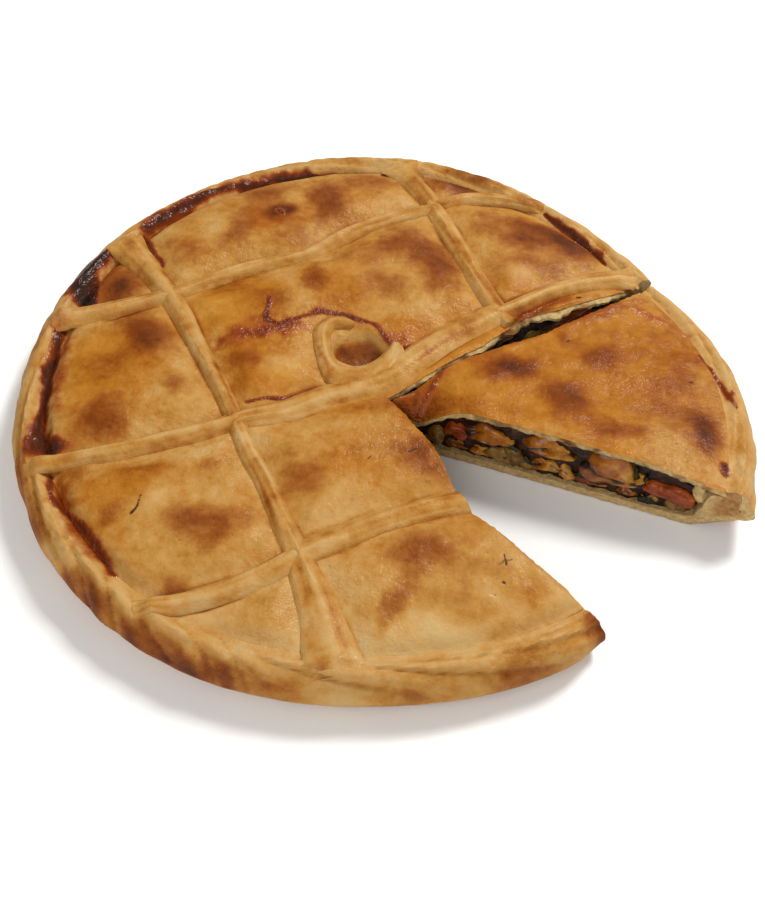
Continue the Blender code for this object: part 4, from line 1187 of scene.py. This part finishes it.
def bridged(path):
    """Height of the dough along a path.  A strip doesn't sink into the groove inside the rim but spans it."""
    x, y, _ = path.T
    middle = ground(x, y)
    away, angle = PIE.from_centre(x, y)
    inset = outline_radius(angle) - away
    near_rim = stepped_array(-inset, -26, -18) * stepped_array(inset, 7, 11)
    padded = np.pad(middle, SPAN_RINGS, mode="edge")
    span = np.max([padded[i:i + len(middle)] for i in range(2 * SPAN_RINGS + 1)], axis=0)
    padded = np.pad(span, 2, mode="edge")
    span = np.mean([padded[i:i + len(middle)] for i in range(5)], axis=0)
    return middle + near_rim * np.maximum(span - middle, 0)


def carried_on(rows):
    """The same path, run on over the rim's crest at each end that reaches the rim."""
    rows = [*rows]
    for end, inner, place in ((0, 1, 0), (-1, -2, len(rows) + 1)):
        x, y, width = rows[end]
        away, angle = PIE.from_centre(x, y)
        if outline_radius(angle) - away < 1.5 * RIM_BAND:
            run_x, run_y = x - rows[inner][0], y - rows[inner][1]
            share = ONTO_RIM / hypot(run_x, run_y)
            rows.insert(place, (x + run_x * share, y + run_y * share, width))
    return rows


level = ground(np.array([0.0, -160.0]), np.array([60.0, 38.0]))
print("dough under a strip, on the lid and at the left rim:", level.round(1))

# %% Lay a tube of dough along a path
STRIP_RING = 1.4
STRIP_SIDES = 30
STRIP_CAP = 2                 # rings past each end, which draw the tube together
SQUASHED = 0.56               # half a strip's width, which has spread a little
FOOT = 2.2                    # how far a strip's foot is pressed into the lid
RIM_END = 11.0                # a strip is pressed out flat over this length at the rim


def lay_strip(mesh, path, rise, flatness, seed):
    """Roll a flat grid up into a tube and lay it along a path.  Returns the height of its streaks."""
    last = len(path) - 1
    flat = points(mesh)
    ring = (flat[:, 0] + 0.5) * (last + 2 * STRIP_CAP) - STRIP_CAP
    turn = (flat[:, 1] + 0.5) * 2 * pi
    at = np.clip(ring, 0, last)
    past = ring - at
    steps = np.arange(len(path))
    x0, y0, width = (np.interp(at, steps, path[:, i]) for i in range(3))
    run_x, run_y = (np.interp(at, steps, np.gradient(path[:, i])) for i in range(2))
    length = np.hypot(run_x, run_y)
    run_x, run_y = run_x / length, run_y / length
    closing = np.sqrt(np.clip(1 - (past / STRIP_CAP) ** 2, 0, 1))
    across = np.cos(turn) * closing
    sideways = SQUASHED * width * across
    x = x0 - run_y * sideways + run_x * past * 0.8
    y = y0 + run_x * sideways + run_y * past * 0.8
    away, angle = PIE.from_centre(x0, y0)
    inset = outline_radius(angle) - away
    onto_rim = stepped_array(-inset, -RIM_BAND - RIM_END / 2, -RIM_BAND / 2 + 2)
    end_away, end_angle = PIE.from_centre(path[[0, last], 0], path[[0, last], 1])
    at_rim = outline_radius(end_angle) - end_away < 2 * RIM_BAND
    to_ends = np.column_stack((at, last - at)) * STRIP_RING
    end_pressed = np.where(at_rim, 1 - stepped_array(to_ends, 0, RIM_END), 0)
    pressed = np.maximum(stepped_array(-inset, -14, -3), np.max(end_pressed, axis=1))
    along = np.column_stack((at * STRIP_RING / 34, across * 2.8, np.full(len(at), 0.7 * seed)))
    streak = ripple(along, 1.0, seed + 7)
    ridge = 0.35 * np.exp(-((across - 0.15) / 0.3) ** 2) - 0.4 * np.exp(-((across + 0.6) / 0.13) ** 2)
    crown = (1 - np.abs(across) ** flatness) ** 0.85 * (0.4 + 0.6 * closing)
    above = (rise + ridge + 1.1 * streak) * crown * (1 - 0.95 * pressed)
    below = -FOOT * np.abs(np.sin(turn)) ** 0.75 * closing
    level = np.interp(at, steps, bridged(path)) + onto_rim * (ground(x, y) - ground(x0, y0))
    level -= 0.5 * np.abs(across) ** 3
    move_to(mesh, np.column_stack((x, y, level + np.where(np.sin(turn) > 0, above, below))))
    return streak


print("a strip has a ring of", STRIP_SIDES, "points every", STRIP_RING, "mm")

# %% Build the strips
STRIP_RISE = 4.0              # the dough has flattened a little in the oven
ROPE_RISE = 3.0
STRIP_SHAPE = 2.3             # a low number gives a peaked back and a high one a broad back
ROPE_SHAPE = 3.4
KNIFE_CUT_STRIP = "strip_e_right"
KNIFE_CUT_AWAY = 71.2         # where the front cut crosses that strip
PAST_THE_CUT = 7.0            # it is made this much longer and then trimmed


def cut_by_knife(mesh, away):
    """Trim what stands past the pie's front cut, `away` from its apex, and close the cut with crumb."""
    heading = radians(between(MAIN_FRONT_CUT, away))
    bm = bmesh.new()
    bm.from_mesh(mesh)
    place = (PIE.apex[0] + away * cos(heading), PIE.apex[1] + away * sin(heading), 0)
    cut = bmesh.ops.bisect_plane(bm, geom=bm.verts[:] + bm.edges[:] + bm.faces[:], plane_co=place,
                                 plane_no=(-sin(heading), cos(heading), 0), clear_outer=True)
    edges = [item for item in cut["geom_cut"] if isinstance(item, bmesh.types.BMEdge)]
    for face in bmesh.ops.holes_fill(bm, edges=edges, sides=0)["faces"]:
        face.material_index = SECTION_SLOT
    bm.to_mesh(mesh)
    bm.free()


def build_strip(name, rows, rise, shape, seed):
    """One strip laid on the pie.  It fades into the rim where it ends there, and is blunt elsewhere."""
    if name == KNIFE_CUT_STRIP:
        x, y, width = rows[-1]
        rows = (*rows, (x + PAST_THE_CUT, y + PAST_THE_CUT / 4, width))
    path = smooth_path(carried_on(rows), STRIP_RING)
    bm = bmesh.new()
    bmesh.ops.create_grid(bm, x_segments=len(path) - 1 + 2 * STRIP_CAP, y_segments=STRIP_SIDES, size=0.5)
    mesh = mesh_from(bm, name)
    set_field(mesh, "streak", lay_strip(mesh, path, rise, shape, seed))
    tidy(mesh, 0.03)
    places = points(mesh)
    relief = 0.35 * ripple(places, 11, seed) + 0.13 * ripple(places, 3.5, seed + 1)
    move_to(mesh, places + outward(mesh) * relief[:, None])
    if name == KNIFE_CUT_STRIP:
        cut_by_knife(mesh, KNIFE_CUT_AWAY)
    places = points(mesh)
    flat = from_above(places)
    browned = 0.35 + 0.16 * ripple(places, 20, seed + 2) + 0.14 * ripple(places, 6, seed + 3)
    # a strip is drawn paler where its streaks stand higher
    browned += 0.45 * np.clip(blotches(PIE_SPOTS, flat, 1), -0.2, 0.35) - 0.3 * stored(mesh, "streak")
    fields(mesh, browning=browned, juice=0.35 * runs_of_juice(PIE_JUICE, flat, seed + 5),
           egg=0.2 + 0.3 * ripple(places, 22, seed + 6), wet=0.25 + 0.4 * ripple(places, 25, seed + 4))
    return finish(mesh, f"{name}_dough", (STRIP_CRUST, CRUMB), "dough_strip", name)


for number, (name, rows) in enumerate(STRIPS.items()):
    build_strip(name, rows, STRIP_RISE, STRIP_SHAPE, 200 + 10 * number)
build_strip("chimney", CHIMNEY_ROPE, ROPE_RISE, ROPE_SHAPE, 310)

# %% [markdown]
# ## The filling
# What shows at a cut is a heap: whole mussels, soft onion, strips of red pepper and shreds of parsley in
# a dark, oily sauce. A lumpy wall with a mottled colour would pass from far off, but the eye looks for
# the mussels here. So the sauce is a bulk set back from the knife, and the pieces lie half in it: at the
# two open cuts they stand a little out of the knife's plane, and at the others they stop just short of
# it. Each kind is one joined mesh, so that it can have its own material.

# %% Sauce and mussel meat
# near-black of the sauce, also laid on the pieces as painted shade
SAUCE_AND_SHADE_BLACK = "1C0F07"
FRILL_BLACK = "14120A"


def sauce():
    """Reduced mussel liquor and oil: almost black, and glossy as varnish."""
    material, tree = blank("reduced_sauce_oily")
    stops = ((0.3, "0E0704"), (0.5, "1E0F06"), (0.64, "3C1E0A"), (0.8, "5A3410"))
    colour = ramp(tree, speckle(tree, 5, 4, 0.6), stops)
    surface(tree, colour, 0.3, bumped(tree, speckle(tree, 2.5, 3), 0.7), Specular_IOR_Level=0.2)
    return material


def sauced_and_shaded(tree, colour, share):
    """A colour darker on a piece's underside, ends and slit: a film of sauce and painted shade."""
    film = sums(tree, field(tree, "film"), (speckle(tree, 6, 4, 0.65), 1.1))
    return mixed(tree, stepped(tree, film, 1.25 - share, 1.6 - share), colour, SAUCE_AND_SHADE_BLACK)


def mussel_meat():
    """Cooked mussel: orange flesh, brown in places, olive inside, with a green-black frilled edge."""
    material, tree = blank("cooked_mussel_meat")
    place = sums(tree, field(tree, "tone"), (speckle(tree, 8, 4, 0.6), 0.9))
    flesh = ramp(tree, place, ((0.1, "3E1A06"), (0.28, "703806"), (0.44, "98560E"), (0.58, "B07826"),
                               (0.72, "7E6018"), (0.9, "34300E")))
    frill = stepped(tree, sums(tree, field(tree, "frill"), (speckle(tree, 3, 3), 0.6)), 0.6, 1.0)
    flesh = sauced_and_shaded(tree, mixed(tree, frill, flesh, FRILL_BLACK), 0.24)
    surface(tree, flesh, 0.35, bumped(tree, speckle(tree, 3, 2), 0.3), Coat_Weight=0.4, Coat_Roughness=0.1,
            Specular_IOR_Level=0.12)
    return material


print("sauced things are darkened towards", SAUCE_AND_SHADE_BLACK)


# %% Onion, pepper and parsley
def vegetable(name, stops, rough):
    """Soft-stewed vegetable in one colour range, darker lower down under sauce and painted shade."""
    material, tree = blank(name)
    place = sums(tree, field(tree, "tone"), (speckle(tree, 5, 4, 0.65), 0.9))
    surface(tree, sauced_and_shaded(tree, ramp(tree, place, stops), 0.2), rough, bumped(tree, speckle(tree, 3, 2), 0.3),
            Coat_Weight=0.3, Coat_Roughness=0.12, Specular_IOR_Level=0.1)
    return material


ONION_STOPS = ((0.2, "34200A"), (0.4, "6A4818"), (0.58, "8A6A2E"), (0.8, "A88C4C"))
PEPPER_STOPS = ((0.15, "3A1006"), (0.38, "742C0C"), (0.6, "964214"), (0.8, "AA6230"))
PARSLEY_STOPS = ((0.2, "0C0D04"), (0.5, "1A1B08"), (0.8, "34340F"))
FILLING_MATERIAL = {
    "mussel": mussel_meat(),
    "onion": vegetable("stewed_onion_oily", ONION_STOPS, 0.32),
    "pepper": vegetable("stewed_red_pepper", PEPPER_STOPS, 0.27),
    "dough_fold": CRUMB,
    "parsley": vegetable("wilted_parsley", PARSLEY_STOPS, 0.4),
}
SAUCE = sauce()
print("kinds of piece:", ", ".join(FILLING_MATERIAL))

# %% [markdown]
# ### The sauce
# The sauce fills the space between the two doughs, and sinks a little under the lid as the pie cools. A
# fluid simulation would be wasted on it, because it has set: it is the same sweep as the lids, with a
# lumpier cut.

# %% Build the sauce
AIR_UNDER_LID = 2.2           # steam has left this gap over the filling
TIP_SINKS = 2.5               # the filling has slumped at the slice's tip
SAUCE_RECESS = 2.8
SAUCE_RINGS = 60
SAUCE_GRAIN = 4.0
SAUCE_LUMPS = 2.4


def roof(portion, x, y):
    """Top of the filling, which has settled away from the lid."""
    if portion is PIE:
        eye_away = np.hypot(x - CHIMNEY_EYE[0], y - CHIMNEY_EYE[1])
        under_vent = CHIMNEY_DEPTH * np.exp(-(eye_away / 30) ** 2)
        return dome(x, y)[0] - STRIP_BED - under_vent - LID_SHEET - AIR_UNDER_LID
    slumped = TIP_SINKS * np.exp(-(portion.from_apex(x, y) / 45) ** 2)
    return slice_top(x, y) - LID_SHEET - AIR_UNDER_LID - slumped


def set_back(portion, recess):
    """The same portion with both cuts moved back from the knife, and with fewer rays."""
    first = radians(between(portion.first_cut, 60))
    last = radians(between(portion.last_cut, 60) + portion.whole_turn)
    middle, shift = (first + last) / 2, recess / sin((last - first) / 2)
    apex = (portion.apex[0] + shift * cos(middle), portion.apex[1] + shift * sin(middle))
    return replace(portion, apex=apex, rays=portion.rays // 4)


def build_sauce(portion, seed):
    """The filling's bulk: lumpy sauce from the bottom sheet up to just under the lid."""
    bulk = set_back(portion, SAUCE_RECESS)
    rings = np.linspace(0, PIE_RADIUS - RIM_MASS - 2, SAUCE_RINGS)
    edge = [(PIE_RADIUS - inset, height) for inset, height in ((31, 0.12), (27.5, 0.4), (25, 0.85))]
    profile = [(ring, 0.0) for ring in rings] + edge + [(ring, 1.0) for ring in rings[::-1]]
    mesh = swept(profile, bulk.rays, 8)
    away, up, share = settled(mesh, bulk, lambda d, z: np.full(len(d), SAUCE_GRAIN))
    x, y = bulk.place(share, away)
    floor = BASE_SHEET - 0.5
    places = np.column_stack((x, y, floor + (roof(portion, x, y) - floor) * up))
    move_to(mesh, ragged(bulk, places, share, SAUCE_LUMPS, seed))
    tidy(mesh)
    return finish(mesh, f"{portion.name}_sauce", (SAUCE, SAUCE), "mussel_filling", f"{portion.name}_filling")


build_sauce(PIE, 401)
build_sauce(SLICE, 451)

# %% [markdown]
# ### Where the pieces lie
# A particle system could strew the pieces, but each one at the slice's open cut shows, so those are listed
# one by one: (distance from the apex, height, length, width, turn in degrees, kind). The other cuts show the
# same kinds, strewn by a draw whose seed is fixed, so that every run of the script gives the same pie.

# %% Places of the pieces
FRONT_PIECES = (
    (24.4, 12, 8, 14, 0, "onion"), (20, 8, 8, 7, 0, "onion"), (33, 17.5, 12, 10, -25, "pepper"),
    (34, 8, 14, 6, -8, "mussel"), (50.5, 21, 25, 14, 5, "mussel"), (47, 8.5, 13, 8, 6, "mussel"),
    (57, 9.5, 17, 11, -20, "onion"), (63.5, 11, 12, 12, 25, "onion"), (69.5, 6.8, 13, 6, 0, "onion"),
    (79.8, 23.5, 28, 14, -6, "mussel"), (80.5, 10.5, 16, 10, 10, "mussel"), (91, 9.5, 8, 11, 40, "mussel"),
    (99, 8, 13, 6, 0, "pepper"), (111.5, 17.5, 31, 23, -14, "mussel"), (104, 8, 15, 6, -8, "mussel"),
    (121, 8, 12, 7, 8, "mussel"), (127, 20, 7, 10, 50, "mussel"), (141, 14.5, 26, 10, -14, "pepper"),
    (133, 8, 9, 5, 0, "onion"), (146, 8, 13, 7, -5, "onion"), (154.5, 21, 8, 16, 6, "dough_fold"),
)
FRONT_PARSLEY = (
    (124, 22, 3, 13, 10, "parsley"), (127.5, 19, 3, 11, -25, "parsley"), (131, 7, 9, 5, 0, "parsley"),
    (62, 19, 8, 3, -20, "parsley"), (98, 12, 6, 4, 10, "parsley"), (70, 13, 4, 4, 40, "parsley"),
)
SIZE_OF = {"mussel": (27, 13), "onion": (16, 10), "pepper": (24, 8)}
STREWN_KINDS = ("mussel", "onion", "mussel", "pepper")
STREWN_HEIGHTS = (9, 20, 14)


def scattered_pieces(seed, first, last, count):
    """Other cuts show the same kinds of piece, strewn by a seeded draw."""
    draw = Random(seed)
    pieces = []
    for i in range(count):
        kind = STREWN_KINDS[i % len(STREWN_KINDS)]
        length, width = SIZE_OF[kind]
        away = first + (last - first) * (i + 0.5) / count
        height = STREWN_HEIGHTS[i % len(STREWN_HEIGHTS)] + draw.uniform(-2, 2)
        size = draw.uniform(0.85, 1.1)
        pieces.append((away, height, length * size, width * size, draw.uniform(-18, 18), kind))
    return pieces


def parsley(seed, first, last, count):
    """Shreds of parsley between the other pieces."""
    draw = Random(seed)
    return [(draw.uniform(first, last), draw.uniform(7, 27), draw.uniform(6, 12), draw.uniform(3, 5),
             draw.uniform(-60, 60), "parsley") for _ in range(count)]


print("pieces set by hand:", len(FRONT_PIECES) + len(FRONT_PARSLEY))

# %% [markdown]
# ### One piece
# A mussel is a bent bean with a slit down its side and a frilled dark edge, onion a curled lens and
# pepper a bent bar. Sculpting each one would take hours. Instead a ball or a rounded bar is made by an
# operator and squeezed, slit, bent and wrinkled by rules, each with its own seed, so that no two are
# alike.

# %% Model one piece
DEPTH_OF = {"mussel": 0.8, "onion": 0.75, "pepper": 0.8, "parsley": 0.3, "dough_fold": 0.45}
BAR_EDGE = 0.28               # radius of the bar's edges, as a share of its size


def bar(bm):
    """A bar of unit size with round edges."""
    bmesh.ops.create_cube(bm, size=1.0)
    bmesh.ops.bevel(bm, geom=bm.edges[:], offset=BAR_EDGE, offset_type="OFFSET", segments=3, profile=0.5,
                    affect="EDGES", material=-1)
    bmesh.ops.subdivide_edges(bm, edges=bm.edges[:], cuts=4, use_grid_fill=True)


def mussel_edge(vert, along, up, width, seed):
    """Thin the mantle's edge, frill it and narrow the mussel's far end.  Returns the share of frill."""
    edge = max(0.0, min(1.0, (-up - 0.35) / 0.4))
    vert.co.y *= 1.0 - 0.4 * edge
    vert.co.z -= edge * 0.08 * width * (1.0 + sin(9.0 * along + seed))
    vert.co.z *= 1.0 - 0.22 * along
    vert.co.y -= 0.09 * width * max(0.0, 1.0 - abs(up - 0.1) / 0.3)
    return edge


def piece_bmesh(length, width, kind, seed):
    """One piece lying along X, with the numbers that its material reads."""
    bm = bmesh.new()
    frill, tone, film = (bm.verts.layers.float.new(name) for name in ("frill", "tone", "film"))
    if kind == "pepper":
        bar(bm)
    else:
        bmesh.ops.create_icosphere(bm, subdivisions=4, radius=0.5)
    bmesh.ops.scale(bm, vec=(length, DEPTH_OF[kind] * width, width), verts=bm.verts)
    own = Random(seed).uniform(-0.14, 0.14)
    for vert in bm.verts:
        along, up = 2 * vert.co.x / length, 2 * vert.co.z / width
        wrinkle = noise.noise(Vector((vert.co.x / 8, seed, vert.co.z / 3)))
        slit = 0.0
        if kind == "mussel":
            slit = exp(-((up - 0.15 - 0.3 * sin(2.2 * along + seed)) / 0.17) ** 2)
        # vegetables are drawn lighter towards their tops and darker below, as painted shade
        vert[tone] = own + (0.18 * along if kind == "mussel" else 0.1 * up)
        # sauce film and painted shade: darker on the lower side, at the ends and in a mussel's slit
        if kind != "dough_fold":
            vert[film] = 0.2 - 0.45 * up + 0.3 * along * along - 0.3 * wrinkle + 0.5 * slit
        vert.co.y *= 1.0 - 0.4 * slit + 0.25 * wrinkle
        if kind == "mussel":
            vert[frill] = mussel_edge(vert, along, up, width, seed)
        bend = 0.3 if kind == "pepper" else 0.12
        vert.co.z += bend * width * (1.0 - along * along)
        lump = noise.noise(vert.co / (0.4 * width) + Vector((seed, 0, 0)))
        ridge = noise.noise(Vector((vert.co.x / 12, vert.co.y / 3, vert.co.z / 2.2)) + Vector((0, seed, 0)))
        vert.co += vert.co.normalized() * (lump * 0.2 * width + 0.6 * ridge)
    return bm


example = piece_bmesh(*SIZE_OF["mussel"], "mussel", 1)
print("a mussel has", len(example.faces), "faces")
example.free()

# %% Lay the pieces in the sauce
BEHIND_CUT = {"mussel": 4.0, "onion": 3.6, "pepper": 3.8, "parsley": 1.4, "dough_fold": 3.0}
FREE_CUT_BULGE = 1.6          # pieces stand this far out where the knife's face is open
SHORT_OF_CUT = -0.5           # and stop this far behind it elsewhere
FOLD_HEADROOM = 5.0           # the fold of dough reaches up to the lid, and the other pieces don't
HEADROOM = AIR_UNDER_LID - 0.9


def place_piece(portion, share, row, seed):
    """One piece at a cut, half out of the sauce.  It bulges at the open cuts, and elsewhere stops short."""
    away, height, length, width, turn, kind = row
    ax, ay = portion.on_ray(share, away + length / 4)
    bx, by = portion.on_ray(share, away - length / 4)
    heading = atan2(ay - by, ax - bx)
    inwards = heading + (pi / 2 if share < 0.5 else -pi / 2)
    back = BEHIND_CUT[kind]
    x, y = portion.on_ray(share, away)
    open_cut = (portion is SLICE) == (share < 0.5)
    bulge = FREE_CUT_BULGE if open_cut and kind != "dough_fold" else SHORT_OF_CUT
    shrink = min(1.0, (back + bulge) * 2.0 / (DEPTH_OF[kind] * width))
    bm = piece_bmesh(length, width, kind, seed)
    bmesh.ops.scale(bm, vec=(1.0, shrink, 1.0), verts=bm.verts)
    aimed = Matrix.Rotation(heading, 3, "Z") @ Matrix.Rotation(radians(-turn) / 2, 3, "Y")
    bmesh.ops.rotate(bm, cent=(0, 0, 0), matrix=aimed, verts=bm.verts)
    bmesh.ops.translate(bm, vec=(x + back * cos(inwards), y + back * sin(inwards), height), verts=bm.verts)
    mesh = mesh_from(bm, kind)
    places = points(mesh)
    ceiling = roof(portion, places[:, 0], places[:, 1])
    ceiling += FOLD_HEADROOM if kind == "dough_fold" else HEADROOM
    places[:, 2] = np.clip(places[:, 2], BASE_SHEET + 0.2, ceiling)
    move_to(mesh, places)
    return mesh


def build_pieces(portion, cuts, seed):
    """All pieces of a portion's filling, joined into one mesh for each kind."""
    joined = {}
    for share, rows in cuts:
        for row in rows:
            kind = row[-1]
            bm = joined.setdefault(kind, bmesh.new())
            seed += 1
            piece = place_piece(portion, share, row, seed)
            bm.from_mesh(piece)
            bpy.data.meshes.remove(piece)
    for kind, bm in joined.items():
        bmesh.ops.recalc_face_normals(bm, faces=bm.faces)
        mesh = mesh_from(bm, kind)
        slot, layer = ("bread_crumb", "base") if kind == "dough_fold" else ("mussel_filling", "filling")
        node = f"{portion.name}_{layer}"
        finish(mesh, f"{portion.name}_{kind}_pieces", (FILLING_MATERIAL[kind],), slot, node)


build_pieces(PIE, ((0.0, scattered_pieces(3, 35, 125, 8) + parsley(13, 30, 130, 8)),
                   (1.0, scattered_pieces(5, 20, 125, 11) + parsley(15, 20, 130, 10))), 500)
build_pieces(SLICE, ((0.0, FRONT_PIECES + FRONT_PARSLEY),
                     (1.0, scattered_pieces(7, 35, 122, 8) + parsley(19, 35, 125, 8))), 600)

# %% [markdown]
# ## Floor, light and camera
# The pie was photographed on white, from 0.8 m away and 50 degrees up, under a broad soft light from
# above and behind on the right. The shadow falls a little towards the lower left. A sky picture could
# light it, but one large lamp with a weak one against it is easier to aim and leaves nothing to load. The
# camera's place and lens were worked out from the pie's outline in the photo.

# %% Floor
FLOOR_SIZE = 6.0              # in metres, as all that follows
FLOOR_Z = -0.0003             # just under the pie, so that their faces don't fight
bpy.ops.mesh.primitive_plane_add(size=FLOOR_SIZE, location=(0, 0, FLOOR_Z))
floor = bpy.context.object
floor.name = "floor"
floor_material, tree = blank("matt_white_floor")
surface(tree, linear("F4F3F0"), 0.9, add(tree, "NewGeometry").outputs["Normal"])
floor.data.materials.append(floor_material)
print("floor:", FLOOR_SIZE, "m square")

# %% Lights
PIE_MIDDLE = Vector((0.0, 0.0, 0.02))
WORLD_STRENGTH = 0.32


def soft_light(name, place, size, power):
    """A square area light that faces the pie."""
    data = bpy.data.lights.new(name, "AREA")
    data.size = size
    data.energy = power
    lamp = bpy.data.objects.new(name, data)
    bpy.context.scene.collection.objects.link(lamp)
    lamp.location = place
    lamp.rotation_euler = (PIE_MIDDLE - Vector(place)).to_track_quat("-Z", "Y").to_euler()


soft_light("key", (0.86, 0.90, 1.62), 0.6, 43.0)
soft_light("fill", (-0.4, -1.1, 0.9), 1.2, 12.0)
world = bpy.data.worlds.new("studio")
bpy.context.scene.world = world
world.use_nodes = True
sky = world.node_tree.nodes["Background"].inputs
sky["Color"].default_value = (1, 1, 1, 1)
sky["Strength"].default_value = WORLD_STRENGTH
bpy.context.scene.view_settings.view_transform = "Standard"
print("lamps:", len(bpy.data.lights))

# %% Camera
CAMERA_DISTANCE = 0.8
CAMERA_ELEVATION = radians(50.38)
CAMERA_ROLL = radians(1.33)
PHOTO_WIDTH, PHOTO_HEIGHT = 765, 909
FOCAL_PIXELS = 1555.7
SENSOR = 36.0
PRINCIPAL_POINT = (362.78, 418.18)
eye = Vector((0.0, -cos(CAMERA_ELEVATION), sin(CAMERA_ELEVATION))) * CAMERA_DISTANCE
look = -eye.normalized()
right = Vector((1.0, 0.0, 0.0))
upward = right.cross(look)
tilted_right = cos(CAMERA_ROLL) * right + sin(CAMERA_ROLL) * upward
tilted_up = cos(CAMERA_ROLL) * upward - sin(CAMERA_ROLL) * right
camera_data = bpy.data.cameras.new("camera")
camera_data.sensor_width = SENSOR
camera_data.lens = FOCAL_PIXELS * SENSOR / PHOTO_HEIGHT
camera_data.shift_x = (PHOTO_WIDTH / 2 - PRINCIPAL_POINT[0]) / PHOTO_HEIGHT
camera_data.shift_y = (PRINCIPAL_POINT[1] - PHOTO_HEIGHT / 2) / PHOTO_HEIGHT
camera = bpy.data.objects.new("camera", camera_data)
bpy.context.scene.collection.objects.link(camera)
turned = Matrix((tilted_right, tilted_up, -look)).transposed().to_4x4()
camera.matrix_world = Matrix.Translation(eye) @ turned
bpy.context.scene.camera = camera
print("lens:", round(camera_data.lens, 1), "mm")
